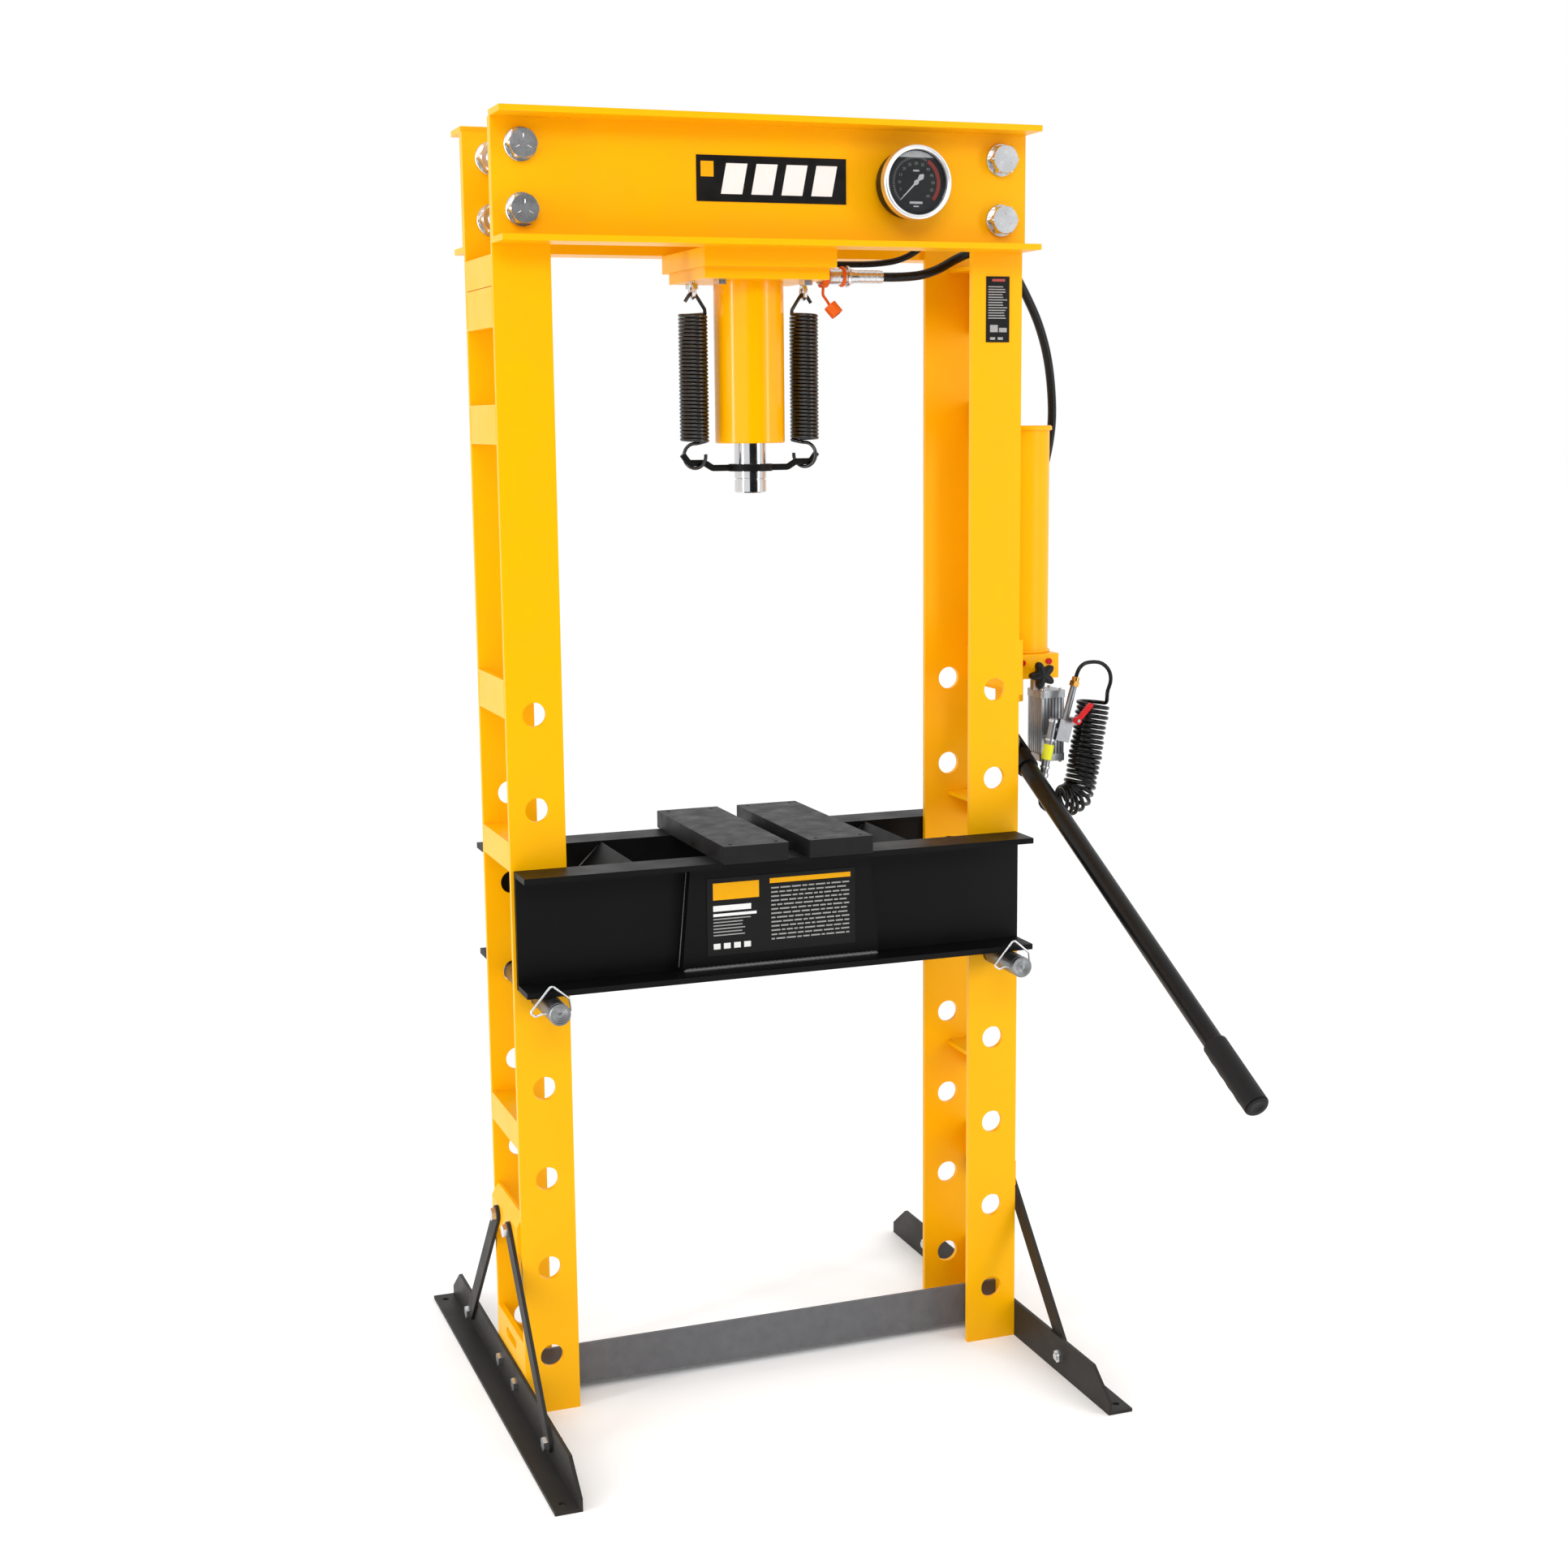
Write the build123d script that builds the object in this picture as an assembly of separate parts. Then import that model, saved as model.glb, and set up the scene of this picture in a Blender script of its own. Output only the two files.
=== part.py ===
"""Hydraulic shop press of the 40 tonne class, with an air and hand pump, as separate sub-parts.

Millimetres. +X runs to the operator's right, +Y to the back and +Z up. The origin is on the
floor, at the centre of the four floor anchor holes and under the ram's axis.
Each sub-part is written to parts/NODE.step.
"""

import os
from math import atan2, cos, degrees, hypot, pi, radians, sin, tan

from build123d import *

os.makedirs("parts", exist_ok=True)

# ---------------------------------------------------------------- fits and clearances
FIT = 0.05            # radial running or location fit of a round piece in its bore
BOLT_CLEARANCE = 0.5  # radial clearance of a bolt in a drilled plate
SEAT_GAP = 0.3        # air left between pieces of two bodies where one rests on the other
GUIDE_GAP = 0.5       # side clearance of the bed on the uprights

# ---------------------------------------------------------------- frame
frame_height = 1780.0
frame_width = 762.0       # over the outer edges of the uprights
leg_depth = 168.0         # over the front and rear faces of a leg
upright_width = 78.0
upright_thick = 8.0
upright_top_drop = 8.0    # upright's top below the beam's top
beam_height = 167.0
beam_flange = 52.0        # flange beyond the web's outer face
beam_thick = 8.0
beam_bolt_rise = 82.0     # between the two bolts of a joint
hole_radius = 16.5        # bed pin holes
hole_first = 83.0
hole_pitch = 130.3
hole_rows = 8
batten_thick = 8.0
batten_height = 52.0
batten_levels = (991.0, 1355.0, 1507.0)
spacer_leg = 40.0
spacer_thick = 6.0
spacer_tops = (428.0, 822.0, 1600.0)

# ---------------------------------------------------------------- feet and bracing
foot_length = 770.0
foot_flange = 37.0        # floor flange, outwards from the upright's outer face
foot_web = 55.0
foot_thick = 5.0
foot_end_cut = 50.0       # length of the sloping cut on each end of the web
foot_end_height = 18.0
anchor_radius = 5.0
anchor_inset = 21.0       # from the foot's ends
anchor_edge = 15.0        # from the floor flange's outer edge
foot_bracket_low = 10.0
foot_bracket_high = 104.0
foot_bolt_spread = 92.0
foot_bolt_level = 32.0
brace_bracket_low = 236.0
brace_bracket_high = 292.0
brace_width = 25.0
brace_thick = 5.0
brace_top_spread = 72.0
brace_top_level = 258.0
brace_foot_spread = 480.0
brace_foot_level = 30.0
small_bolt_radius = 5.0
small_hex = 17.0
small_head = 6.5
small_nut = 8.0
small_bolt_tail = 3.0
rail_height = 60.0
rail_flange = 58.0
rail_thick = 5.0
rail_low = 12.0
rail_front = -35.5

# ---------------------------------------------------------------- beam bolts, M24
bolt_radius = 12.0
bolt_hex = 36.0
bolt_head = 15.0
nut_height = 21.0
washer_radius = 22.0
washer_thick = 4.0
bolt_tail = 5.0

# ---------------------------------------------------------------- cylinder and ram
carrier_half_width = 95.0
carrier_height = 25.0
carrier_half_depth = 96.0
mount_plate_half_width = 90.0
mount_plate_half_depth = 80.0
mount_plate_thick = 15.0
mount_bolt_spread = 124.0
mount_bolt_radius = 5.0
mount_bolt_hex = 17.0
mount_bolt_head = 7.0
mount_bolt_grip = 30.0
barrel_radius = 49.0
bore_radius = 36.0
barrel_low = 1352.0
barrel_high = 1650.0
end_cap_thick = 15.0
end_cap_spigot = 12.0
gland_length = 38.0
gland_inset = 2.0
seal_length = 8.0
seal_wall = 4.0
ram_radius = 22.5
ram_low = 1283.0          # nose's end face
ram_neck_radius = 14.0
piston_height = 30.0
piston_top_gap = 2.0
nose_height = 20.0
nose_spigot_radius = 10.0
nose_spigot_length = 18.0
nose_chamfer = 1.5
nose_groove_width = 2.0   # ring groove between the nose and the ram
nose_groove_depth = 1.5
spring_offset = 82.0
spring_radius = 21.0
spring_wire = 5.0
spring_low = 1353.0
spring_high = 1532.0
spring_end = 3.0          # thickness of the closed end turn
eye_radius = 9.0
eye_wire = 6.0
eye_shank_radius = 4.0
eye_depth = 12.0
yoke_wire = 9.0
yoke_ring_wall = 8.5
yoke_ring_height = 10.0
yoke_level = 1318.0
yoke_rise = 7.3           # of the arms where the spring rings hang on them
yoke_reach = 100.0
ring_radius = 17.0        # lower ring of a spring, to the middle of its wire
ring_turn = 45.0          # of the ring's plane from across the press
link_gap = 0.3            # air between two linked rings

# ---------------------------------------------------------------- bed
bed_height = 165.0
bed_half_length = 377.0
bed_flange = 51.0
bed_thick = 8.0
bed_row = 4               # pin row that carries the bed, counted from 0 at the floor
web_plate_thick = 18.0
web_plate_top_half = 134.0
web_plate_low_half = 148.0
tie_offset = 207.0
tie_leg = 50.0
tie_thick = 6.0
tie_drop = 1.3
bed_label_width = 222.0
bed_label_height = 110.0
label_thick = 1.0
pin_radius = 15.0
pin_front = -182.0
pin_rear = 150.0
pin_groove_inset = 7.0
pin_groove_width = 2.5
pin_groove_depth = 1.2
clip_wire = 3.2
clip_inset = 16.0         # clip's cross hole from the pin's front end
clip_hole_depth = 9.0
arbor_length = 312.0
arbor_thick = 25.0
arbor_spans = {"left": (-100.0, -5.0), "right": (26.0, 121.0)}
arbor_gap = 0.2

# ---------------------------------------------------------------- gauge and labels
gauge_x = 197.0
gauge_z = 1700.0
gauge_radius = 50.0
gauge_case_radius = 46.0
gauge_wall = 2.5
gauge_depth = 37.0
gauge_standoff = 3.0
bezel_depth = 10.0
bezel_lip = 7.0
dial_thick = 1.0
lens_thick = 2.0
needle_length = 33.0
needle_tail = 15.0
needle_rest = 225.0       # degrees clockwise from the top, seen from the front
stem_radius = 9.0
stem_length = 32.0
badge_span = (-104.0, 110.0)
badge_levels = (1672.0, 1732.0)
notice_span = (325.0, 361.0)
notice_levels = (1489.0, 1580.0)

# ---------------------------------------------------------------- pump
bracket_thick = 6.0
bracket_low = 985.0
bracket_high = 1065.0
block_low = 1003.0
block_high = 1039.0
block_front = -50.0
block_rear = 72.0
block_width = 78.0
reservoir_radius = 39.0
reservoir_wall = 3.0
reservoir_height = 326.0
cap_rim_radius = 42.5
cap_rim_height = 7.0
filler_radius = 7.0
filler_height = 12.0
pivot_x = 410.0
pivot_y = 25.0
pivot_z = 914.0
pivot_pin_radius = 5.0
plunger_arm = 35.0        # from the handle's pivot to the plunger pin
plunger_pin_radius = 4.0
plunger_radius = 7.5
slot_slack = 3.0          # room for the pin along and across the tang's slot
slot_gap = 0.7
plunger_top = 990.0
plunger_stroke = 33.0
pump_barrel_radius = 14.0
pump_barrel_low = 966.0
lug_thick = 15.4
lug_radius = 14.0
cheek_thick = 6.0
cheek_gap = 16.0
cheek_half_height = 11.0
handle_angle = 27.5       # below level, at rest
handle_length = 815.0     # from the pivot to the grip's end
handle_radius = 13.5
handle_wall = 2.5
sleeve_start = 62.0
sleeve_length = 30.0
sleeve_wall = 3.0
grip_length = 118.0
grip_wall = 3.0
tang_thick = 10.0
tang_width = 24.0
tang_low = 886.0
tang_high = 911.0
knob_x = 426.0
knob_z = 1010.0
knob_radius = 21.0
knob_arms = 5
knob_front = -76.0
knob_thick = 16.0
spindle_radius = 5.0
plug_radius = 4.5
plug_height = 3.0
plug_places = ((403.0, 1027.0), (446.0, 1028.0))
motor_span_x = (441.0, 482.0)
motor_span_y = (-38.0, 12.0)
motor_low = 876.0
motor_high = 982.0
motor_cap = 11.0
motor_grooves = 6
motor_fin = 3.0
fin_inset = 2.0           # of the finned body inside its end caps
motor_neck_radius = 11.0

# ---------------------------------------------------------------- air valve and hoses
valve_y = -60.0
valve_tilt = 15.0         # of both air pipes, from upright
valve_centre = (465.0, 925.0)
valve_size = (22.0, 16.0, 32.0)
inlet_radius = 5.0
inlet_top = (483.0, 990.0)
brass_radius = 8.0
brass_length = 14.0
outlet_radius = 6.0
outlet_top = (451.0, 944.0)
outlet_foot = (433.5, 856.0)
elbow_length = 15.0       # of the elbow behind the gauge
tap_length = 14.0
tap_radius = 7.0
tap_y = 0.0
tap_level = 1599.0
gauge_hose_radius = 4.5
lever_pivot = (480.0, 941.0)
lever_length = 33.0
lever_thick = 6.0
lever_front = -82.0
lever_pin_radius = 2.5
port_radius = 6.0
coupler_level = 1581.0
mount_port_y = -20.0
coupler_steps = ((6.0, 6.0), (11.0, 42.0), (15.0, 4.0), (11.0, 6.0), (9.0, 45.0))
coupler_ring_radius = 15.5
hydraulic_hose_radius = 6.5
hose_fitting_radius = 9.0
hose_fitting_height = 36.0
air_hose_radius = 3.0
air_coil_radius = 27.0

# ---------------------------------------------------------------- values that follow
def beside(end, before, offset, ahead):
    """Point ahead of a route's end and to one side of it, in the plane across the press."""
    run = hypot(end[0] - before[0], end[2] - before[2])
    along = ((end[0] - before[0]) / run, (end[2] - before[2]) / run)
    return (end[0] + along[1] * offset + along[0] * ahead, end[1],
            end[2] - along[0] * offset + along[1] * ahead)


def pipe_end(start, end, beyond):
    """Place (x, z) that lies beyond the second of two (x, z) places, on their line."""
    run = hypot(end[0] - start[0], end[1] - start[1])
    return tuple(e + (e - s) / run * beyond for s, e in zip(start, end))


half_width = frame_width / 2
half_depth = leg_depth / 2
hole_x = half_width - upright_width / 2
beam_low = frame_height - beam_height
beam_mid = frame_height - beam_height / 2
web_face = half_depth + beam_thick
foot_outer = half_width + foot_thick
foot_edge = half_width + foot_flange
anchor_x = foot_edge - anchor_edge
anchor_y = foot_length / 2 - anchor_inset
carrier_low = beam_low - carrier_height
plate_low = carrier_low - mount_plate_thick
piston_high = barrel_high - end_cap_spigot - piston_top_gap
piston_low = piston_high - piston_height
nose_top = ram_low + nose_height
bed_hole_z = hole_first + bed_row * hole_pitch
pin_z = bed_hole_z - (hole_radius - pin_radius) + SEAT_GAP
bed_low = pin_z + pin_radius + SEAT_GAP
bed_top = bed_low + bed_height
bed_back = half_depth + GUIDE_GAP
bed_web_face = bed_back + bed_thick
bed_edge = bed_web_face + bed_flange
clip_y = pin_front + clip_inset
block_left = half_width + bracket_thick
reservoir_x = block_left + block_width / 2
plunger_y = pivot_y - plunger_arm * (1 + cos(radians(handle_angle))) / 2
gauge_back = -web_face - gauge_standoff
gauge_mouth = gauge_back - gauge_depth
bezel_front = gauge_mouth - bezel_depth + 2
motor_y = sum(motor_span_y) / 2
motor_neck_x = block_left + block_width - motor_neck_radius - 7
eye_level = plate_low - eye_radius - 4
filler_x = reservoir_x - 20
needle_thick = 1.0
dial_front = gauge_mouth + 1.5
needle_y = dial_front - needle_thick / 2 - SEAT_GAP
lens_front = needle_y - 4
coupler_end = mount_plate_half_width + sum(length for _, length in coupler_steps)
hose_port = (block_left + block_width - 25, block_rear - 15)
union_top = block_high + hose_fitting_height
elbow_y = gauge_back + stem_length - stem_radius
tap_end = carrier_half_width + tap_length
inlet_tip = pipe_end(valve_centre, inlet_top, brass_length)
inlet_turn = pipe_end(valve_centre, inlet_top, brass_length + 9.5)
outlet_turn = pipe_end(outlet_top, outlet_foot, 32)
coil_line = air_coil_radius - 2 * air_hose_radius - 1

# Route of the hydraulic hose, from the coupler's ferrule to the union on the pump block.
hydraulic_route = [
    (coupler_end, mount_port_y, coupler_level), (coupler_end + 44, mount_port_y, coupler_level),
    (276.0, -19.5, 1590.0), (311.0, -15.0, 1609.0), (345.0, -6.0, 1621.0), (379.0, 3.0, 1621.0),
    (411.0, 11.0, 1599.0), (438.0, 20.0, 1563.0), (465.0, 28.0, 1520.0), (486.0, 36.0, 1465.0),
    (498.0, 45.0, 1391.0), (496.0, 52.0, 1341.0), (485.0, 58.0, 1289.0), (470.0, 62.0, 1237.0),
    (455.0, 63.0, 1185.0), (443.0, 61.0, 1142.0), (hose_port[0], hose_port[1], 1108.0),
    (hose_port[0], hose_port[1], union_top),
]
# Route of the gauge's hose, from the tap on the ram carrier to the elbow behind the gauge.
gauge_route = [
    (tap_end, tap_y, tap_level), (150.0, tap_y, tap_level), (192.0, -2.0, 1600.0),
    (230.0, -9.0, 1606.0), (259.0, -22.0, 1626.0), (272.0, -36.0, 1656.0), (262.0, -50.0, 1684.0),
    (240.0, elbow_y, gauge_z), (gauge_x + elbow_length, elbow_y, gauge_z),
]
# Middle line of the curly air hose, down from the valve and round the fold at its foot.
coil_route = [
    (521.0, -52.0, 966.0), (514.0, -52.0, 920.0), (503.0, -54.0, 862.0),
    (489.0, -60.0, 815.0), (459.0, -60.0, 819.3),
]
coil_radii = [200.0, 200.0, 28.5]
inlet_lead_route = [
    (inlet_tip[0], valve_y, inlet_tip[1]), (inlet_turn[0], valve_y, inlet_turn[1]),
    (495.6, -60.0, 1020.4), (505.7, -58.5, 1024.7), (531.0, -55.0, 1023.6), (547.0, -53.0, 1010.0),
    (550.0, -52.0, 992.5),
    beside(coil_route[0], coil_route[1], coil_line, 15.0),
    beside(coil_route[0], coil_route[1], coil_line, 0.0),
]
outlet_lead_route = [
    beside(coil_route[-1], coil_route[-2], -coil_line, 0.0),
    beside(coil_route[-1], coil_route[-2], -coil_line, 13.0),
    (432.0, valve_y, 810.0), (outlet_turn[0], valve_y, outlet_turn[1]),
    (outlet_foot[0], valve_y, outlet_foot[1]),
]


# ---------------------------------------------------------------- building blocks
def block(x, y, z):
    """Box between the low and high value of each axis."""
    size = [max(pair) - min(pair) for pair in (x, y, z)]
    return Pos(*[sum(pair) / 2 for pair in (x, y, z)]) * Box(*size)


def rod_x(radius, x, y, z):
    """Round bar along X between the two values of x."""
    return Pos(sum(x) / 2, y, z) * Rot(0, 90, 0) * Cylinder(radius, abs(x[1] - x[0]))


def rod_y(radius, x, y, z):
    """Round bar along Y between the two values of y."""
    return Pos(x, sum(y) / 2, z) * Rot(90, 0, 0) * Cylinder(radius, abs(y[1] - y[0]))


def rod_z(radius, x, y, z):
    """Round bar along Z between the two values of z."""
    return Pos(x, y, sum(z) / 2) * Cylinder(radius, abs(z[1] - z[0]))


def hexagon(flats, length):
    """Hexagonal bar along Z, centred, with its size across the flats."""
    return extrude(RegularPolygon(flats / 2, 6, major_radius=False), length / 2, both=True)


def hex_y(flats, x, y, z):
    """Hexagonal bar along Y between the two values of y."""
    return Pos(x, sum(y) / 2, z) * Rot(90, 0, 0) * hexagon(flats, abs(y[1] - y[0]))


def hex_x(flats, x, y, z):
    """Hexagonal bar along X between the two values of x."""
    return Pos(sum(x) / 2, y, z) * Rot(0, 90, 0) * hexagon(flats, abs(x[1] - x[0]))


def prism_x(points, x):
    """Prism along X whose outline is a list of (y, z) points."""
    face = make_face(Polyline([(x[0], y, z) for y, z in points], close=True))
    return Solid.extrude(face.face(), Vector(x[1] - x[0], 0, 0))


def prism_y(points, y):
    """Prism along Y whose outline is a list of (x, z) points."""
    face = make_face(Polyline([(x, y[0], z) for x, z in points], close=True))
    return Solid.extrude(face.face(), Vector(0, y[1] - y[0], 0))


def bar(radius, start, end):
    """Round bar between two points."""
    line = Vector(*end) - Vector(*start)
    return extrude(Plane(origin=start, z_dir=line) * Circle(radius), line.length)


def tube_along(points, radii, radius, name=None):
    """Round tube along straight runs joined by arcs; with a name, its size is printed."""
    path = FilletPolyline(*points, radius=radii)
    solid = sweep(Plane(origin=path @ 0, z_dir=path % 0) * Circle(radius), path=path)
    if name:
        ideal = pi * radius ** 2 * path.length
        print(f"{name}: length {path.length:.0f} mm, volume ratio {solid.volume / ideal:.4f}, "
              f"radii {[round(r) for r in radii]}")
    return solid


def route_radii(points):
    """Arc radius of each corner: 0.45 of the shorter run over the tangent of half the turn."""
    radii = []
    for before, here, after in zip(points, points[1:], points[2:]):
        arrive = Vector(*here) - Vector(*before)
        leave = Vector(*after) - Vector(*here)
        half_turn = radians(arrive.get_angle(leave)) / 2
        radii.append(0.45 * min(arrive.length, leave.length) / tan(half_turn))
    return radii


def save(node, *solids):
    """Write one node's STEP file from one solid or a group of separate solids."""
    shape = solids[0] if len(solids) == 1 else Compound(children=[Part() + s for s in solids])
    export_step(Part() + shape if len(solids) == 1 else shape, f"parts/{node}.step")


# ---------------------------------------------------------------- frame
def beam_joints():
    """Places (x, z) of the bolts that hold a beam to its uprights."""
    rise = beam_bolt_rise / 2
    return [(side * hole_x, beam_mid + up * rise) for side in (-1, 1) for up in (-1, 1)]


def top_beam(side):
    """Folded channel on the front (-1) or rear (1) of the uprights, flanges outwards."""
    near, face, edge = side * half_depth, side * web_face, side * (web_face + beam_flange)
    beam = block((-half_width, half_width), (near, edge), (beam_low, frame_height))
    beam -= block((-half_width, half_width), (face, edge),
                  (beam_low + beam_thick, frame_height - beam_thick))
    for x, z in beam_joints():
        beam -= rod_y(bolt_radius + BOLT_CLEARANCE, x, (near, face), z)
    if side < 0:
        beam -= rod_y(stem_radius + BOLT_CLEARANCE, gauge_x, (near, face), gauge_z)
    return beam


def upright(side, face):
    """Flat upright of the left (-1) or right (1) leg, on its front (-1) or rear (1) face."""
    inner = side * (half_width - upright_width)
    y = (face * (half_depth - upright_thick), face * half_depth)
    member = block((inner, side * half_width), y, (0, frame_height - upright_top_drop))
    for row in range(hole_rows):
        member -= rod_y(hole_radius, side * hole_x, y, hole_first + row * hole_pitch)
    for x, z in beam_joints():
        if x * side > 0:
            member -= rod_y(bolt_radius + BOLT_CLEARANCE, x, y, z)
    return member


def leg_interior():
    """Front and rear limits of the space between a leg's two uprights."""
    return (-(half_depth - upright_thick), half_depth - upright_thick)


def batten(side, level):
    """Flat tie between a leg's uprights, flush with its outer side."""
    x = (side * (half_width - batten_thick), side * half_width)
    return block(x, leg_interior(), (level, level + batten_height))


def spacer(side, top):
    """Angle between a leg's uprights: a level leg on top and an upright leg outside."""
    outer = side * half_width
    level = block((outer - side * spacer_leg, outer), leg_interior(), (top - spacer_thick, top))
    hanging = block((outer - side * spacer_thick, outer), leg_interior(), (top - spacer_leg, top))
    return level + hanging


def small_hole(side, y, z, depth):
    """Drilling for a small bolt through the outer side of a leg or foot."""
    reach = (side * (half_width - depth), side * (foot_outer + brace_thick + 1))
    return rod_x(small_bolt_radius + BOLT_CLEARANCE, reach, y, z)


def brace_bracket(side):
    """Bent plate with a sloping top that carries the upper ends of the braces."""
    inner, outer = half_width - batten_thick, foot_outer
    slope = foot_thick + 14
    outline = [(inner, brace_bracket_low), (outer, brace_bracket_low),
               (outer, brace_bracket_high - slope), (half_width - 4, brace_bracket_high),
               (inner, brace_bracket_high)]
    plate = prism_y([(side * x, z) for x, z in outline], leg_interior())
    for end in (-1, 1):
        plate -= small_hole(side, end * brace_top_spread / 2, brace_top_level, batten_thick)
    return plate


def foot_bracket(side):
    """Plate between a leg's uprights that the foot and the lower rail are fixed to."""
    x = (side * (half_width - batten_thick), side * half_width)
    plate = block(x, leg_interior(), (foot_bracket_low, foot_bracket_high))
    slot = extrude(Plane.YZ * SlotOverall(60, 14), batten_thick + 2, both=True)
    plate -= Pos(side * half_width, 0, foot_bracket_high - 22) * slot
    for end in (-1, 1):
        plate -= small_hole(side, end * foot_bolt_spread / 2, foot_bolt_level, batten_thick)
    return plate


def foot(side):
    """Angle foot under a leg, its floor flange outwards and its web cut down at both ends."""
    half = foot_length / 2
    floor = block((side * half_width, side * foot_edge), (-half, half), (0, foot_thick))
    outline = [(-half, 0), (half, 0), (half, foot_end_height), (half - foot_end_cut, foot_web),
               (-half + foot_end_cut, foot_web), (-half, foot_end_height)]
    web = prism_x(outline, (side * half_width, side * foot_outer))
    body = floor + web
    for end in (-1, 1):
        body -= rod_z(anchor_radius, side * anchor_x, end * anchor_y, (0, foot_thick))
        body -= small_hole(side, end * foot_bolt_spread / 2, foot_bolt_level, 0)
        body -= small_hole(side, end * brace_foot_spread / 2, brace_foot_level, 0)
    return body


def brace_length():
    """Distance between the two bolts of a brace."""
    return hypot((brace_foot_spread - brace_top_spread) / 2, brace_top_level - brace_foot_level)


def brace(side, end):
    """Flat strap from the foot's web up to the brace bracket, towards the front or rear."""
    low = Vector(0, end * brace_foot_spread / 2, brace_foot_level)
    high = Vector(0, end * brace_top_spread / 2, brace_top_level)
    lean = degrees(atan2((high - low).Z, (high - low).Y))
    flat = Plane.YZ * SlotOverall(brace_length() + brace_width, brace_width)
    strap = extrude(flat, brace_thick / 2, both=True)
    middle = (low + high) / 2
    x = side * (foot_outer + brace_thick / 2)
    strap = Pos(x, middle.Y, middle.Z) * Rot(lean, 0, 0) * strap
    for spot in (low, high):
        strap -= small_hole(side, spot.Y, spot.Z, 0)
    return strap


def small_bolt(side, y, z, under_head, grip_end):
    """Hexagon bolt along X with its nut; both x values are from the middle of the press."""
    head = hex_x(small_hex, (side * under_head, side * (under_head + small_head)), y, z)
    tail = grip_end - small_nut - small_bolt_tail
    shank = rod_x(small_bolt_radius, (side * under_head, side * tail), y, z)
    nut = hex_x(small_hex, (side * (grip_end - small_nut), side * grip_end), y, z)
    nut -= rod_x(small_bolt_radius + FIT, (side * tail, side * under_head), y, z)
    return [head + shank, nut]


def foot_bolts():
    """Every small bolt of the feet and braces, with its nut."""
    pieces = []
    bracket_inside = half_width - batten_thick
    for side in (-1, 1):
        for end in (-1, 1):
            y = end * foot_bolt_spread / 2
            pieces += small_bolt(side, y, foot_bolt_level, foot_outer, bracket_inside)
            y = end * brace_foot_spread / 2
            pieces += small_bolt(side, y, brace_foot_level, foot_outer + brace_thick, half_width)
            y = end * brace_top_spread / 2
            pieces += small_bolt(side, y, brace_top_level, foot_outer + brace_thick,
                                 bracket_inside)
    return pieces


def lower_rail():
    """Angle rail between the two foot brackets, one leg upright in front and one on the floor side."""
    reach = half_width - batten_thick
    front = block((-reach, reach), (rail_front, rail_front + rail_thick),
                  (rail_low, rail_low + rail_height))
    floor = block((-reach, reach), (rail_front, rail_front + rail_flange),
                  (rail_low, rail_low + rail_thick))
    return front + floor


def beam_bolt_sets():
    """Bolts, then nuts, then washers of the top beams, as three lists of solids."""
    bolts, nuts, washers = [], [], []
    inner_face = half_depth - upright_thick
    for face in (-1, 1):
        for x, z in beam_joints():
            seat = web_face + washer_thick
            nut_far = inner_face - washer_thick - nut_height
            head = hex_y(bolt_hex, x, (face * seat, face * (seat + bolt_head)), z)
            shank = rod_y(bolt_radius, x, (face * seat, face * (nut_far - bolt_tail)), z)
            bolts.append(head + shank)
            nut = hex_y(bolt_hex, x, (face * nut_far, face * (nut_far + nut_height)), z)
            nuts.append(nut - rod_y(bolt_radius + FIT, x, (0, face * seat), z))
            for low in (web_face, inner_face - washer_thick):
                span = (face * low, face * (low + washer_thick))
                ring = rod_y(washer_radius, x, span, z)
                washers.append(ring - rod_y(bolt_radius + BOLT_CLEARANCE, x, span, z))
    return bolts, nuts, washers


# ---------------------------------------------------------------- cylinder and ram
def mount_bolt_places():
    """Places (x, y) of the four bolts that hold the mount plate to the carrier."""
    half = mount_bolt_spread / 2
    return [(x * half, y * half) for x in (-1, 1) for y in (-1, 1)]


def ram_carrier():
    """Block under the beams that the cylinder passes through, drilled for its bolts."""
    body = block((-carrier_half_width, carrier_half_width),
                 (-carrier_half_depth, carrier_half_depth), (carrier_low, beam_low))
    body -= rod_z(barrel_radius + FIT, 0, 0, (carrier_low, beam_low))
    top = plate_low + mount_bolt_grip + 1
    for x, y in mount_bolt_places():
        body -= rod_z(mount_bolt_radius + FIT, x, y, (carrier_low, top))
    tap = (carrier_half_width - 8, carrier_half_width)
    return body - rod_x(tap_radius - 2 + FIT, tap, tap_y, tap_level)


def mount_plate():
    """Plate under the carrier that holds the cylinder, the spring eyes and the oil port."""
    body = block((-mount_plate_half_width, mount_plate_half_width),
                 (-mount_plate_half_depth, mount_plate_half_depth), (plate_low, carrier_low))
    body -= rod_z(barrel_radius + FIT, 0, 0, (plate_low, carrier_low))
    for x, y in mount_bolt_places():
        body -= rod_z(mount_bolt_radius + BOLT_CLEARANCE, x, y, (plate_low, carrier_low))
    for side in (-1, 1):
        x = side * spring_offset
        body -= rod_z(eye_shank_radius + FIT, x, 0, (plate_low, plate_low + eye_depth))
    port = (mount_plate_half_width - 10, mount_plate_half_width)
    body -= rod_x(port_radius + FIT, port, mount_port_y, coupler_level)
    return body


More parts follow.
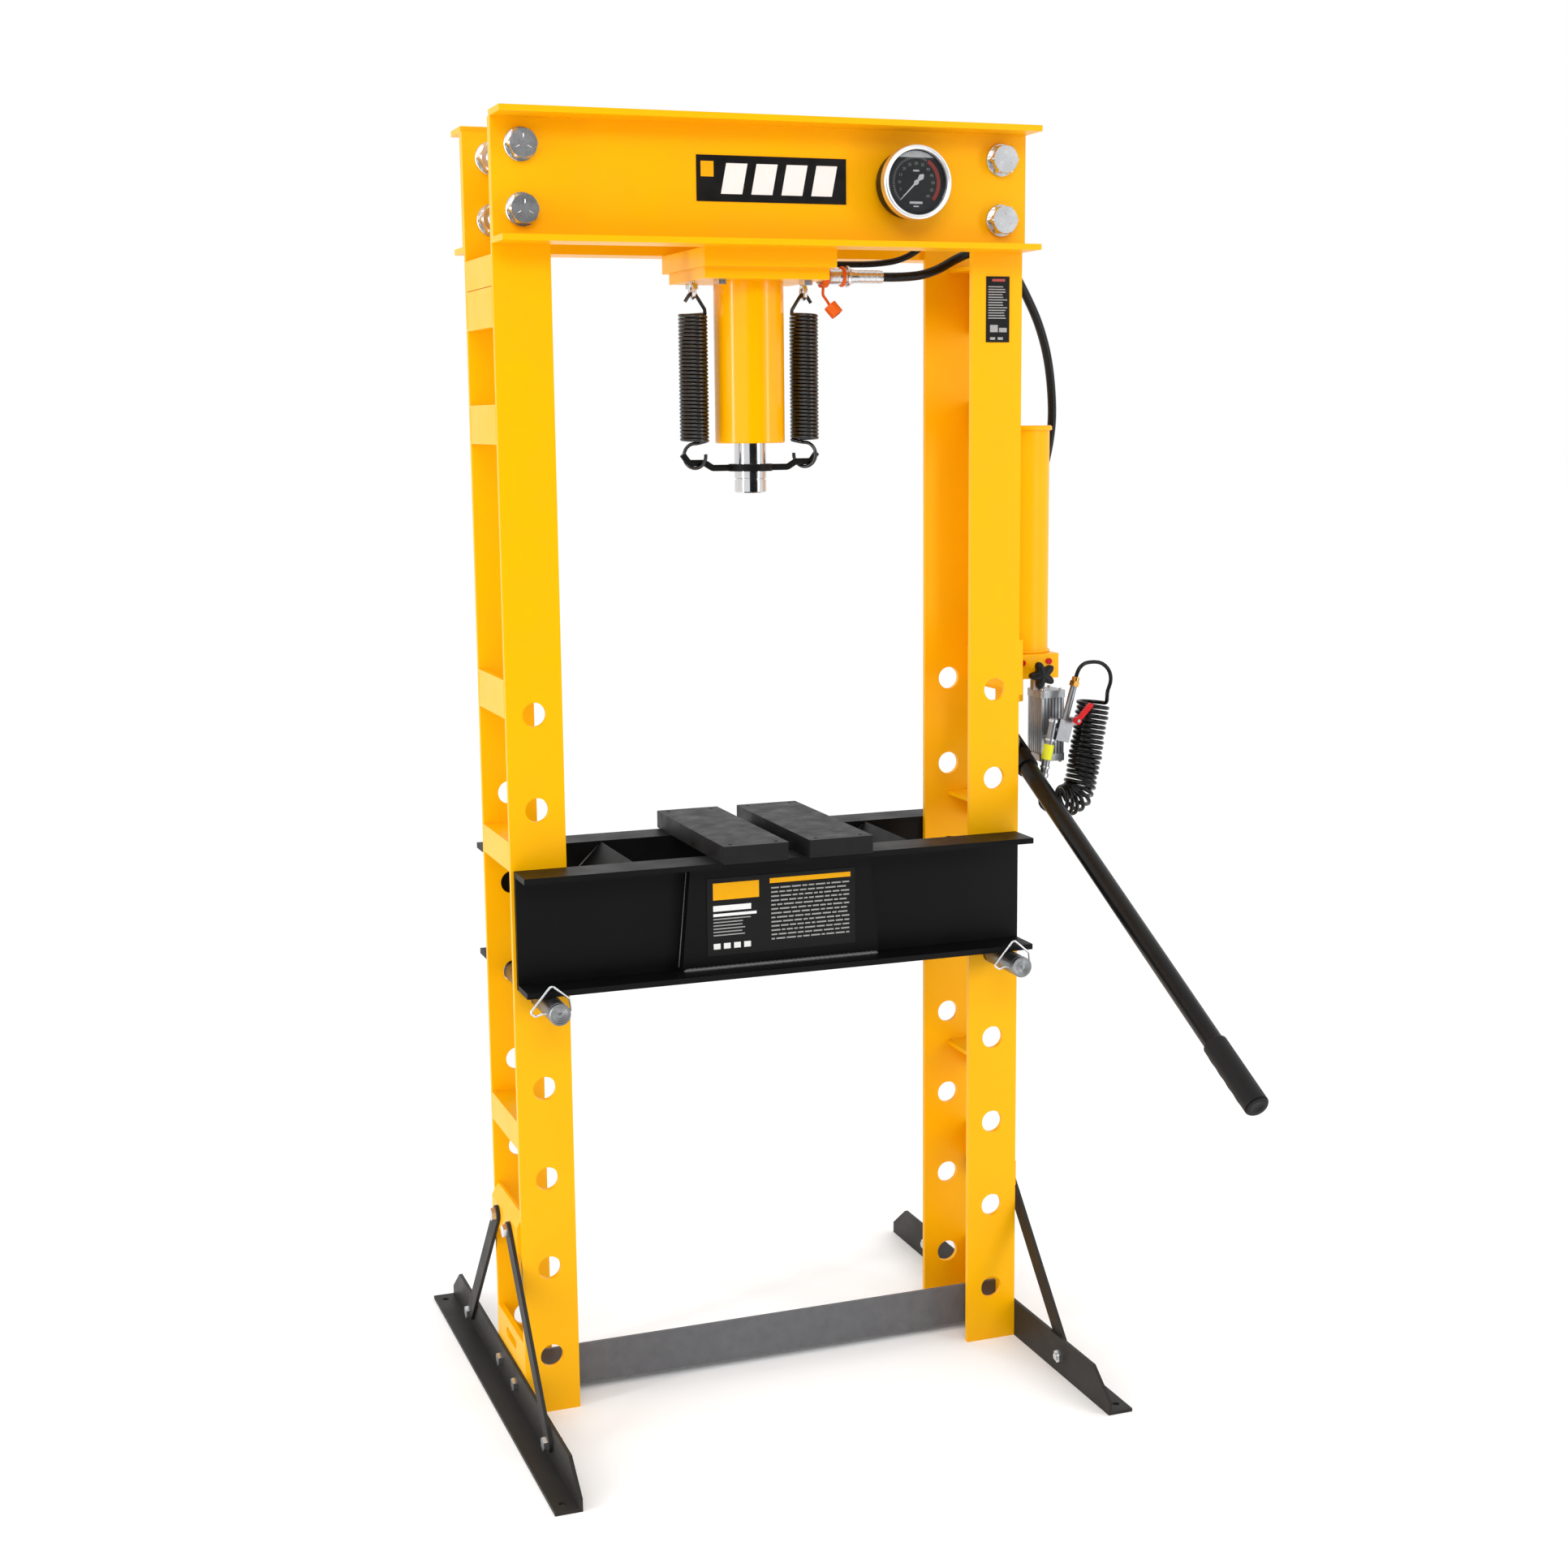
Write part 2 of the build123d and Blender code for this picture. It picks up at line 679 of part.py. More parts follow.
def mount_plate_bolts():
    """Four hexagon bolts and two spring eye bolts under the mount plate."""
    pieces = []
    for x, y in mount_bolt_places():
        head = Pos(x, y, plate_low - mount_bolt_head / 2) * hexagon(mount_bolt_hex, mount_bolt_head)
        shank = rod_z(mount_bolt_radius, x, y, (plate_low, plate_low + mount_bolt_grip))
        pieces.append(head + shank)
    for side in (-1, 1):
        x = side * spring_offset
        ring = Pos(x, 0, eye_level) * Rot(0, 90, 0) * Torus(eye_radius, eye_wire / 2)
        shank = rod_z(eye_shank_radius, x, 0, (eye_level + eye_radius, plate_low + eye_depth - 1))
        pieces.append(ring + shank)
    return pieces


def barrel():
    """Cylinder tube, open at both ends."""
    span = (barrel_low, barrel_high)
    return rod_z(barrel_radius, 0, 0, span) - rod_z(bore_radius, 0, 0, span)


def end_cap():
    """Upper cap of the cylinder, with a spigot in the bore and two spanner holes."""
    cap = rod_z(barrel_radius, 0, 0, (barrel_high, barrel_high + end_cap_thick))
    cap += rod_z(bore_radius - FIT, 0, 0, (barrel_high - end_cap_spigot, barrel_high))
    for side in (-1, 1):
        cap -= rod_z(4, side * bore_radius * 0.7, 0, (barrel_high + end_cap_thick - 8,
                                                      barrel_high + end_cap_thick))
    return cap


def gland():
    """Guide ring at the cylinder's mouth and the rod seal in its recess."""
    low = barrel_low + gland_inset
    high = low + gland_length
    ring = rod_z(bore_radius - FIT, 0, 0, (low, high)) - rod_z(ram_radius + FIT, 0, 0, (low, high))
    recess = (high - seal_length, high)
    seal_outer = ram_radius + seal_wall
    ring -= rod_z(seal_outer, 0, 0, recess)
    seal = rod_z(seal_outer - FIT, 0, 0, recess) - rod_z(ram_radius + FIT, 0, 0, recess)
    return [ring, seal]


def ram_rod():
    """Chromed ram with a neck for the piston and a socket for the nose."""
    rod = rod_z(ram_radius, 0, 0, (nose_top, piston_low))
    rod += rod_z(ram_neck_radius, 0, 0, (piston_low, piston_high))
    socket = (nose_top, nose_top + nose_spigot_length + 1)
    return rod - rod_z(nose_spigot_radius + FIT, 0, 0, socket)


def ram_nose():
    """Pressing nose with a bevelled edge, a ring groove and a spigot in the ram."""
    shoulder = nose_top - nose_groove_width
    nose = rod_z(ram_radius, 0, 0, (ram_low, shoulder))
    nose = chamfer(nose.edges().sort_by(Axis.Z)[0], nose_chamfer)
    nose += rod_z(ram_radius - nose_groove_depth, 0, 0, (shoulder, nose_top))
    return nose + rod_z(nose_spigot_radius, 0, 0, (nose_top, nose_top + nose_spigot_length))


def piston():
    """Piston on the ram's neck."""
    span = (piston_low, piston_high)
    return rod_z(bore_radius - FIT, 0, 0, span) - rod_z(ram_neck_radius + FIT, 0, 0, span)


def spring_yoke():
    """Round cross bar with a ring on the ram and arms that carry the springs' lower rings."""
    half = yoke_wire / 2
    span = (yoke_level - yoke_ring_height / 2, yoke_level + yoke_ring_height / 2)
    x, high = spring_offset, yoke_level + yoke_rise
    arms = []
    for side in (-1, 1):
        arm = [(side * (ram_radius + yoke_ring_wall / 2), 0, yoke_level),
               (side * (x - 26), 0, yoke_level), (side * (x - 14), 0, high),
               (side * (x + 9), 0, high), (side * yoke_reach, 0, high + 12)]
        arms.append(tube_along(arm, [9, 9, 8], half))
    ring = rod_z(ram_radius + yoke_ring_wall, 0, 0, span) + arms
    return ring - rod_z(ram_radius + FIT / 2, 0, 0, span)


def return_spring(side):
    """Closed-wound spring as a tube of its outer size, with its upper hook and lower ring."""
    x = side * spring_offset
    wire = spring_wire / 2
    middle = spring_radius - wire
    span = (spring_low, spring_high)
    coil = rod_z(spring_radius, x, 0, span)
    inside = (spring_low + spring_end, spring_high - spring_end)
    coil -= rod_z(spring_radius - spring_wire, x, 0, inside)
    bend = eye_wire / 2 + wire + 2 * link_gap + 0.4
    lean = radians(34)
    crown = eye_level - eye_radius + eye_wire / 2 + wire + link_gap
    apex = crown - bend + bend / sin(lean)
    drop = apex - spring_high - 6
    upper = [(x - side * middle, 0, spring_high - 1), (x - side * drop * tan(lean), 0, spring_high + 6),
             (x, 0, apex), (x + side * 11, 0, apex - 11 / tan(lean))]
    coil += tube_along(upper, [4, bend], wire)
    ring = Rot(0, 0, -ring_turn) * Rot(90, 0, 0) * Torus(ring_radius, wire)
    centre = yoke_level + yoke_rise - yoke_wire / 2 - link_gap - wire + ring_radius
    return coil + Pos(x, 0, centre) * ring


# ---------------------------------------------------------------- bed
def bed_channel(side):
    """Folded channel of the bed, in front (-1) or behind (1) the uprights, flanges outwards."""
    near, face, edge = side * bed_back, side * bed_web_face, side * bed_edge
    span = (-bed_half_length, bed_half_length)
    body = block(span, (near, edge), (bed_low, bed_top))
    return body - block(span, (face, edge), (bed_low + bed_thick, bed_top - bed_thick))


def web_plate(side):
    """Tapered stiffening plate on the outer face of a bed channel's web."""
    low, high = bed_low + bed_thick, bed_top - bed_thick
    outline = [(-web_plate_low_half, low), (web_plate_low_half, low),
               (web_plate_top_half, high), (-web_plate_top_half, high)]
    span = (side * bed_web_face, side * (bed_web_face + web_plate_thick))
    return prism_y(outline, span)


def cross_tie(side):
    """Angle iron, ridge up, between the two bed channels."""
    ridge = bed_top - tie_drop
    run = tie_leg / 2 ** 0.5
    wall = tie_thick * 2 ** 0.5
    x = side * tie_offset
    outline = [(x, ridge), (x + run, ridge - run), (x + run - wall / 2, ridge - run - wall / 2),
               (x, ridge - wall), (x - run + wall / 2, ridge - run - wall / 2),
               (x - run, ridge - run)]
    return prism_y(outline, (-bed_back, bed_back))


def bed_label():
    """Thin plate with the operating notice, on the front stiffening plate."""
    face = -(bed_web_face + web_plate_thick)
    middle = (bed_low + bed_top) / 2
    half = bed_label_height / 2
    return block((-bed_label_width / 2, bed_label_width / 2), (face, face - label_thick),
                 (middle - half, middle + half))


def arbor_plate(side):
    """Loose steel plate across the two bed channels, with a lifting hole near each corner."""
    low = bed_top + arbor_gap
    x = arbor_spans[side]
    plate = block(x, (-arbor_length / 2, arbor_length / 2), (low, low + arbor_thick))
    plate = chamfer(plate.edges().filter_by(Axis.Z), 1.5)
    for px in (x[0] + 14, x[1] - 14):
        for py in (-arbor_length / 2 + 14, arbor_length / 2 - 14):
            plate -= rod_z(3, px, py, (low + arbor_thick - 10, low + arbor_thick))
    return plate


def bed_pin(side):
    """Round pin through one leg, under the bed, with a groove and a cross hole at its front."""
    x = side * hole_x
    pin = rod_y(pin_radius, x, (pin_front, pin_rear), pin_z)
    pin = chamfer(pin.edges().filter_by(GeomType.CIRCLE), 1.5)
    groove = (pin_front + pin_groove_inset, pin_front + pin_groove_inset + pin_groove_width)
    collar = rod_y(pin_radius + 1, x, groove, pin_z)
    pin -= collar - rod_y(pin_radius - pin_groove_depth, x, groove, pin_z)
    hole = clip_wire / 2 + FIT
    return pin - rod_x(hole, (x - pin_radius - 1, x + pin_radius + 1), clip_y, pin_z)


def pin_clip(side):
    """Three-cornered wire bail hinged in the pin's cross hole."""
    x = side * hole_x
    deep = pin_radius - clip_hole_depth
    out = pin_radius + 4.5
    points = [(x + deep, clip_y, pin_z), (x + out, clip_y, pin_z), (x + out - 2, clip_y, pin_z + 17),
              (x - 7, clip_y, pin_z + 38), (x - 37, clip_y, pin_z + 3), (x - 30, clip_y, pin_z - 3),
              (x - out - 2, clip_y, pin_z), (x - deep, clip_y, pin_z)]
    return tube_along(points, [2.5, 3.5, 5.0, 3.0, 3.0, 3.0], clip_wire / 2)


# ---------------------------------------------------------------- gauge and labels
def gauge_case():
    """Cup-shaped case with its threaded stem through the beam's web."""
    case = rod_y(gauge_case_radius, gauge_x, (gauge_mouth, gauge_back), gauge_z)
    case = fillet(case.edges().sort_by(Axis.Y)[-1], 5)
    case -= rod_y(gauge_case_radius - gauge_wall, gauge_x,
                  (gauge_mouth, gauge_back - gauge_wall - 6), gauge_z)
    case += rod_y(stem_radius, gauge_x, (gauge_back, gauge_back + stem_length), gauge_z)
    case += rod_x(stem_radius - 1, (gauge_x, gauge_x + elbow_length), elbow_y, gauge_z)
    return case + hex_y(26, gauge_x, (gauge_back, -web_face), gauge_z)


def gauge_bezel():
    """Rounded ring over the case's mouth."""
    span = (bezel_front, gauge_mouth + 6)
    ring = rod_y(gauge_radius, gauge_x, span, gauge_z)
    ring = fillet(ring.edges().filter_by(GeomType.CIRCLE).sort_by(Axis.Y)[0], 3.5)
    ring -= rod_y(gauge_case_radius + FIT, gauge_x, (gauge_mouth, gauge_mouth + 6), gauge_z)
    return ring - rod_y(gauge_radius - bezel_lip, gauge_x, (bezel_front, gauge_mouth), gauge_z)


def gauge_disc(radius, front, thick):
    """Disc square to the gauge's axis, its front face at the given y."""
    return rod_y(radius, gauge_x, (front, front + thick), gauge_z)


def gauge_needle():
    """Pointer with a hub and an arrow-shaped tail, at its rest place on the dial."""
    tip, tail = needle_length, needle_tail
    outline = [(0, tip), (1.1, 0), (2, -tail * 0.5), (4.5, -tail), (-4.5, -tail), (-2, -tail * 0.5),
               (-1.1, 0)]
    flat = extrude(make_face(Polyline(outline, close=True)), needle_thick / 2, both=True)
    flat += Cylinder(3, needle_thick)
    flat = Rot(90, 0, 0) * flat
    return Pos(gauge_x, needle_y, gauge_z) * Rot(0, needle_rest, 0) * flat


def frame_labels():
    """Badge on the front beam and notice on the right front upright."""
    badge = block(badge_span, (-web_face, -web_face - label_thick), badge_levels)
    notice = block(notice_span, (-half_depth, -half_depth - label_thick), notice_levels)
    return [badge, notice]


# ---------------------------------------------------------------- pump
def pump_bracket():
    """Plate on the outer edges of the right leg that the pump hangs on."""
    return block((half_width, block_left), (-half_depth, half_depth), (bracket_low, bracket_high))


def pump_casting():
    """Pump block with the hand pump's barrel, the handle's lug and the bored ports."""
    right = block_left + block_width
    body = block((block_left, right), (block_front, block_rear), (block_low, block_high))
    body = fillet(body.edges().filter_by(Axis.Z).sort_by(Axis.X)[-2:], 6)
    body += rod_z(pump_barrel_radius, pivot_x, plunger_y, (pump_barrel_low, block_low))
    lug_x = (pivot_x - lug_thick / 2, pivot_x + lug_thick / 2)
    body += rod_x(lug_radius, lug_x, pivot_y, pivot_z)
    body += block(lug_x, (pivot_y - 12, pivot_y + lug_radius), (pivot_z, block_low))
    body -= rod_x(pivot_pin_radius + FIT, lug_x, pivot_y, pivot_z)
    bore_top = plunger_top + plunger_stroke + 4
    body -= rod_z(plunger_radius + FIT, pivot_x, plunger_y, (pump_barrel_low, bore_top))
    body -= rod_y(spindle_radius + FIT, knob_x, (block_front, block_front + 20), knob_z)
    for x, z in plug_places:
        body -= rod_y(plug_radius - 1, x, (block_front, block_front + 6), z)
    body -= rod_z(port_radius + FIT, *hose_port, (block_high - 12, block_high))
    return body - rod_z(port_radius + FIT, motor_neck_x, motor_y, (block_low, block_low + 10))


def reservoir():
    """Oil tank tube standing on the pump block."""
    span = (block_high, block_high + reservoir_height)
    tube = rod_z(reservoir_radius, reservoir_x, 0, span)
    return tube - rod_z(reservoir_radius - reservoir_wall, reservoir_x, 0, span)


def reservoir_cap():
    """Rimmed cap on the tank, bored for the filler plug."""
    low = block_high + reservoir_height
    cap = rod_z(cap_rim_radius, reservoir_x, 0, (low, low + cap_rim_height))
    cap = fillet(cap.edges().filter_by(GeomType.CIRCLE).sort_by(Axis.Z)[-1], 2)
    cap += rod_z(reservoir_radius - reservoir_wall - FIT, reservoir_x, 0, (low - 8, low))
    return cap - rod_z(filler_radius - 2 + FIT, filler_x, 0, (low - 8, low + cap_rim_height))


def filler_plug():
    """Hexagonal filler and breather plug."""
    seat = block_high + reservoir_height + cap_rim_height
    head = Pos(filler_x, 0, seat + filler_height / 2) * hexagon(filler_radius * 2, filler_height)
    return head + rod_z(filler_radius - 2, filler_x, 0, (seat - cap_rim_height, seat))


def port_plugs():
    """Two push-in plugs on the front of the pump block."""
    pieces = []
    for x, z in plug_places:
        head = rod_y(plug_radius, x, (block_front - plug_height, block_front), z)
        pieces.append(head + rod_y(plug_radius - 1 - FIT, x, (block_front, block_front + 5), z))
    return pieces


def plunger():
    """Hand pump's plunger, with a slotted tang for the handle's pin."""
    rod = rod_z(plunger_radius, pivot_x, plunger_y, (tang_high - 2, plunger_top))
    tang = block((pivot_x - tang_thick / 2, pivot_x + tang_thick / 2),
                 (plunger_y - tang_width / 2, plunger_y + tang_width / 2), (tang_low, tang_high))
    pin_z_rest = pivot_z - plunger_arm * sin(radians(handle_angle))
    slot = SlotOverall(2 * (plunger_pin_radius + slot_slack), 2 * (plunger_pin_radius + slot_gap))
    cut = extrude(Plane.YZ * slot, tang_thick, both=True)
    return rod + tang - Pos(pivot_x, plunger_y, pin_z_rest) * cut


def on_handle(shape):
    """Place a shape built along -Y from the pivot: turn it down to rest and move it there."""
    return Pos(pivot_x, pivot_y, pivot_z) * Rot(handle_angle, 0, 0) * shape


def handle_socket():
    """Fork on the pivot with a sleeve that takes the handle's tube."""
    outer = handle_radius + FIT + sleeve_wall
    fork_end = -sleeve_start - 6
    body = rod_y(outer, 0, (-sleeve_start, -sleeve_start - sleeve_length), 0)
    for side in (-1, 1):
        x = (side * cheek_gap / 2, side * (cheek_gap / 2 + cheek_thick))
        body += block(x, (12, fork_end), (-cheek_half_height, cheek_half_height))
    body -= rod_y(handle_radius + FIT, 0, (-sleeve_start - 6, -sleeve_start - sleeve_length), 0)
    reach = (-cheek_gap / 2 - cheek_thick, cheek_gap / 2 + cheek_thick)
    body -= rod_x(pivot_pin_radius + FIT, reach, 0, 0)
    return on_handle(body - rod_x(plunger_pin_radius + FIT, reach, -plunger_arm, 0))


def handle_pins():
    """Pivot pin and plunger pin, held in the fork."""
    reach = cheek_gap / 2 + cheek_thick
    pivot = rod_x(pivot_pin_radius, (-reach - 1, reach + 1), 0, 0)
    drive = rod_x(plunger_pin_radius, (-reach - 1, reach + 1), -plunger_arm, 0)
    return [on_handle(pivot), on_handle(drive)]


def handle_tube():
    """Steel tube of the handle."""
    span = (-sleeve_start - 6, -handle_length + grip_wall)
    return on_handle(rod_y(handle_radius, 0, span, 0) - rod_y(handle_radius - handle_wall, 0, span, 0))


def handle_grip():
    """Rubber grip with finger grooves underneath and a closed end."""
    far = -handle_length
    near = far + grip_length
    outer = handle_radius + grip_wall
    grip = rod_y(outer, 0, (far, near), 0)
    bumps = 4
    step = (grip_length - 14) / bumps
    for index in range(bumps):
        centre = far + 12 + step * (index + 0.5)
        grip += Pos(0, centre, -4) * scale(Sphere(outer - 0.5), (0.94, step * 0.62 / outer, 1.0))
    grip -= rod_y(handle_radius + FIT, 0, (far + grip_wall, near + 1), 0)
    return on_handle(grip)


def release_knob():
    """Star knob and its spindle, the hand pump's release valve."""
    hub = Cylinder(knob_radius * 0.52, knob_thick)
    for arm in range(knob_arms):
        turn = Rot(0, 0, arm * 360 / knob_arms + 12)
        hub += turn * Pos(knob_radius * 0.4, 0, 0) * Box(knob_radius * 0.8, 7, knob_thick * 0.8)
        hub += turn * Pos(knob_radius * 0.8, 0, 0) * Cylinder(knob_radius * 0.2, knob_thick * 0.8)
    hub = Pos(knob_x, knob_front + knob_thick / 2, knob_z) * Rot(90, 0, 0) * hub
    return hub + rod_y(spindle_radius, knob_x, (knob_front + knob_thick - 1, block_front + 18), knob_z)


def air_motor():
    """Finned motor housing, its two end caps and the neck into the pump block."""
    x, y = motor_span_x, motor_span_y
    body_span = (motor_low + motor_cap, motor_high - motor_cap)
    wide = (x[0] + fin_inset, x[1] - fin_inset)
    deep = (y[0] + fin_inset, y[1] - fin_inset)
    body = block(wide, deep, body_span)
    for index in range(motor_grooves):
        offset = (index + 1) / (motor_grooves + 1)
        cx = wide[0] + (wide[1] - wide[0]) * offset
        cy = deep[0] + (deep[1] - deep[0]) * offset
        for edge, inward in ((deep[0], motor_fin), (deep[1], -motor_fin)):
            body -= block((cx - 1, cx + 1), (edge, edge + inward), body_span)
        for edge, inward in ((wide[0], motor_fin), (wide[1], -motor_fin)):
            body -= block((edge, edge + inward), (cy - 1, cy + 1), body_span)
    caps = []
    for low in (motor_low, motor_high - motor_cap):
        cap = block(x, y, (low, low + motor_cap))
        caps.append(fillet(cap.edges().filter_by(Axis.Z), 5))
    neck = rod_z(motor_neck_radius, motor_neck_x, motor_y, (motor_high, block_low))
    neck += rod_z(port_radius, motor_neck_x, motor_y, (block_low, block_low + 9))
    return [body, caps[0], caps[1] + neck]


# ---------------------------------------------------------------- air valve and hoses
def pipe_point(top, foot_, share):
    """Point in the valve's plane, part of the way from one (x, z) place to another."""
    return (top[0] + (foot_[0] - top[0]) * share, valve_y, top[1] + (foot_[1] - top[1]) * share)


def air_valve_body():
    """Valve block with its lever ears, the inlet pipe, the outlet pipe and the stub to the motor."""
    x, z = valve_centre
    body = Pos(x, valve_y, z) * Rot(0, valve_tilt, 0) * Box(*valve_size)
    body += bar(inlet_radius, (x, valve_y, z), pipe_point(inlet_top, valve_centre, 0))
    body += bar(outlet_radius, pipe_point(outlet_top, outlet_foot, 0),
                pipe_point(outlet_top, outlet_foot, 1))
    middle = pipe_point(outlet_top, outlet_foot, 0.2)
    body += rod_x(4, (middle[0], x), valve_y, middle[2])
    body += rod_y(5, middle[0] + 4, (valve_y, motor_span_y[0] + fin_inset), middle[2] - 14)
    ear_front = lever_front - 2
    body += rod_y(lever_pin_radius, lever_pivot[0], (valve_y, ear_front), lever_pivot[1])
    arm = (lever_pivot[0] - 12, lever_pivot[0] + 3)
    return body + block(arm, (valve_y - 7, valve_y + 7), (lever_pivot[1] - 8, lever_pivot[1] + 3))


def brass_inlet():
    """Hexagonal brass union between the curly hose and the inlet pipe."""
    start = Vector(inlet_top[0], valve_y, inlet_top[1])
    plane = Plane(origin=start, z_dir=Vector(inlet_tip[0], valve_y, inlet_tip[1]) - start)
    union = extrude(plane * RegularPolygon(brass_radius, 6), brass_length * 0.55)
    return union + extrude(plane * Circle(brass_radius * 0.7), brass_length)


def valve_lever():
    """Paddle lever on the front of the valve."""
    x, z = lever_pivot
    span = (lever_front, lever_front + lever_thick)
    paddle = Pos(lever_length / 2, 0, 0) * Box(lever_length, 7, lever_thick)
    paddle = fillet(paddle.edges().filter_by(Axis.Z), 2.5)
    paddle = Rot(90, 0, 0) * Rot(0, 0, 46) * paddle
    paddle = Pos(x, sum(span) / 2, z) * paddle + rod_y(6, x, span, z)
    return paddle - rod_y(lever_pin_radius + FIT, x, (lever_front - 1, lever_front + lever_thick + 1), z)


def stepped_bar(start, steps):
    """Round bar along X made of (radius, length) steps."""
    body, x = None, start
    for radius, length in steps:
        piece = rod_x(radius, (x, x + length), mount_port_y, coupler_level)
        body = piece if body is None else body + piece
        x += length
    return body


def hose_fittings():
    """Quick coupler and ferrule at the cylinder, and the hose union on the pump block."""
    coupler = stepped_bar(mount_plate_half_width, coupler_steps)
    coupler += rod_x(port_radius, (mount_plate_half_width - 9, mount_plate_half_width),
                     mount_port_y, coupler_level)
    x, y = hose_port
    union = rod_z(hose_fitting_radius, x, y, (block_high + 10, union_top))
    union += Pos(x, y, block_high + 5) * hexagon(hose_fitting_radius * 2, 10)
    union += rod_z(port_radius, x, y, (block_high - 10, block_high))
    tap = rod_x(tap_radius, (carrier_half_width, tap_end), tap_y, tap_level)
    tap += rod_x(tap_radius - 2, (carrier_half_width - 8, carrier_half_width), tap_y, tap_level)
    return [coupler, union, tap]


def coupler_dust_cap():
    """Rubber collar on the coupler with its strap and the hanging cap."""
    x = mount_plate_half_width + coupler_steps[0][1] + 4
    body_radius = coupler_steps[1][0] + FIT
    collar = rod_x(coupler_ring_radius, (x, x + 9), mount_port_y, coupler_level)
    collar -= rod_x(body_radius, (x, x + 9), mount_port_y, coupler_level)
    low = coupler_level - coupler_ring_radius
    y = mount_port_y
    strap = tube_along([(x + 4, y, low + 1), (x + 3, y - 1, low - 10), (x + 9, y - 3, low - 19),
                        (x + 13, y - 4, low - 26)], [8, 8], 2)
    plane = Plane(origin=(x + 12, y - 4, low - 24), z_dir=(0.55, -0.3, -0.75))
    cap = extrude(plane * Circle(9.5), 17) - extrude(plane.offset(4) * Circle(7), 13.5)
    return collar + strap + cap


def curly_air_hose():
    """Outer shape of the curly hose's coils, as one fat tube."""
    return tube_along(coil_route, coil_radii, air_coil_radius, "curly_air_hose")


def plain_hose(name, route, radius):
    """Plain hose along a route, with its arcs from the route's runs."""
    return tube_along(route, route_radii(route), radius, name)


# ---------------------------------------------------------------- write every node
FACES = {"front": -1, "rear": 1}
SIDES = {"left": -1, "right": 1}

for name, face in FACES.items():
    save(f"{name}_top_beam", top_beam(face))
for name, side in SIDES.items():
    save(f"{name}_uprights", *[upright(side, face) for face in FACES.values()])
    save(f"{name}_bed_pin", bed_pin(side))
    save(f"{name}_pin_clip", pin_clip(side))
    save(f"{name}_arbor_plate", arbor_plate(name))

both = (-1, 1)
save("upright_battens", *[batten(s, level) for s in both for level in batten_levels])
save("upright_spacers", *[spacer(s, top) for s in both for top in spacer_tops])
leg_brackets = [make(s) for s in both for make in (brace_bracket, foot_bracket)]
save("leg_brackets", *leg_brackets, pump_bracket())
save("foot_angles", *[foot(s) for s in both])
save("foot_braces", *[brace(s, end) for s in both for end in both])
save("foot_bolts", *foot_bolts())
save("lower_cross_rail", lower_rail())
bolts, nuts, washers = beam_bolt_sets()
save("beam_bolts", *bolts)
save("beam_nuts", *nuts, *washers)

save("ram_carrier", ram_carrier())
save("cylinder_mount_plate", mount_plate())
save("mount_plate_bolts", *mount_plate_bolts())
save("cylinder_barrel", barrel())
save("cylinder_end_cap", end_cap())
save("cylinder_gland", *gland())
save("ram_rod", ram_rod())
save("ram_nose", ram_nose())
save("piston", piston())
save("spring_yoke", spring_yoke())
save("return_springs", *[return_spring(s) for s in both])

save("bed_channels", *[bed_channel(s) for s in both])
save("bed_web_plates", *[web_plate(s) for s in both])
save("bed_cross_ties", *[cross_tie(s) for s in both])
save("bed_label", bed_label())

save("gauge_case", gauge_case())
save("gauge_bezel", gauge_bezel())
save("gauge_dial", gauge_disc(gauge_case_radius - gauge_wall - FIT, dial_front, dial_thick))
save("gauge_lens", gauge_disc(gauge_radius - bezel_lip - FIT, lens_front, lens_thick))
save("gauge_needle", gauge_needle())
save("frame_labels", *frame_labels())

save("pump_casting", pump_casting())
save("oil_reservoir", reservoir())
save("reservoir_cap", reservoir_cap(), filler_plug())
save("port_plugs", *port_plugs())
save("pump_plunger", plunger())
save("handle_socket", handle_socket(), *handle_pins())
save("handle_tube", handle_tube())
save("handle_grip", handle_grip())
save("release_knob", release_knob())
save("air_motor", *air_motor())
save("air_valve_body", air_valve_body())
save("brass_air_inlet", brass_inlet())
save("air_valve_lever", valve_lever())
save("hose_fittings", *hose_fittings())
save("coupler_dust_cap", coupler_dust_cap())
save("hydraulic_hose", plain_hose("hydraulic_hose", hydraulic_route, hydraulic_hose_radius))
save("gauge_hose", plain_hose("gauge_hose", gauge_route, gauge_hose_radius))
save("curly_air_hose", curly_air_hose())
save("inlet_air_lead", plain_hose("inlet_air_lead", inlet_lead_route, air_hose_radius))
save("outlet_air_lead", plain_hose("outlet_air_lead", outlet_lead_route, air_hose_radius))
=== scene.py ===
"""Looks of a floor-standing hydraulic shop press: finishes, pieces, hoses, studio and camera.

Lengths are metres in the row frame; MM turns a length in millimetres into one. +X is the
operator's right, +Y the back and +Z up, with the origin on the floor under the ram.
"""

import logging
import math
from dataclasses import dataclass, field
from enum import Enum
from typing import Callable, Dict, Iterable, List, Optional, Sequence, Tuple

import bmesh
import bpy
import numpy as np
from mathutils import Matrix, Vector


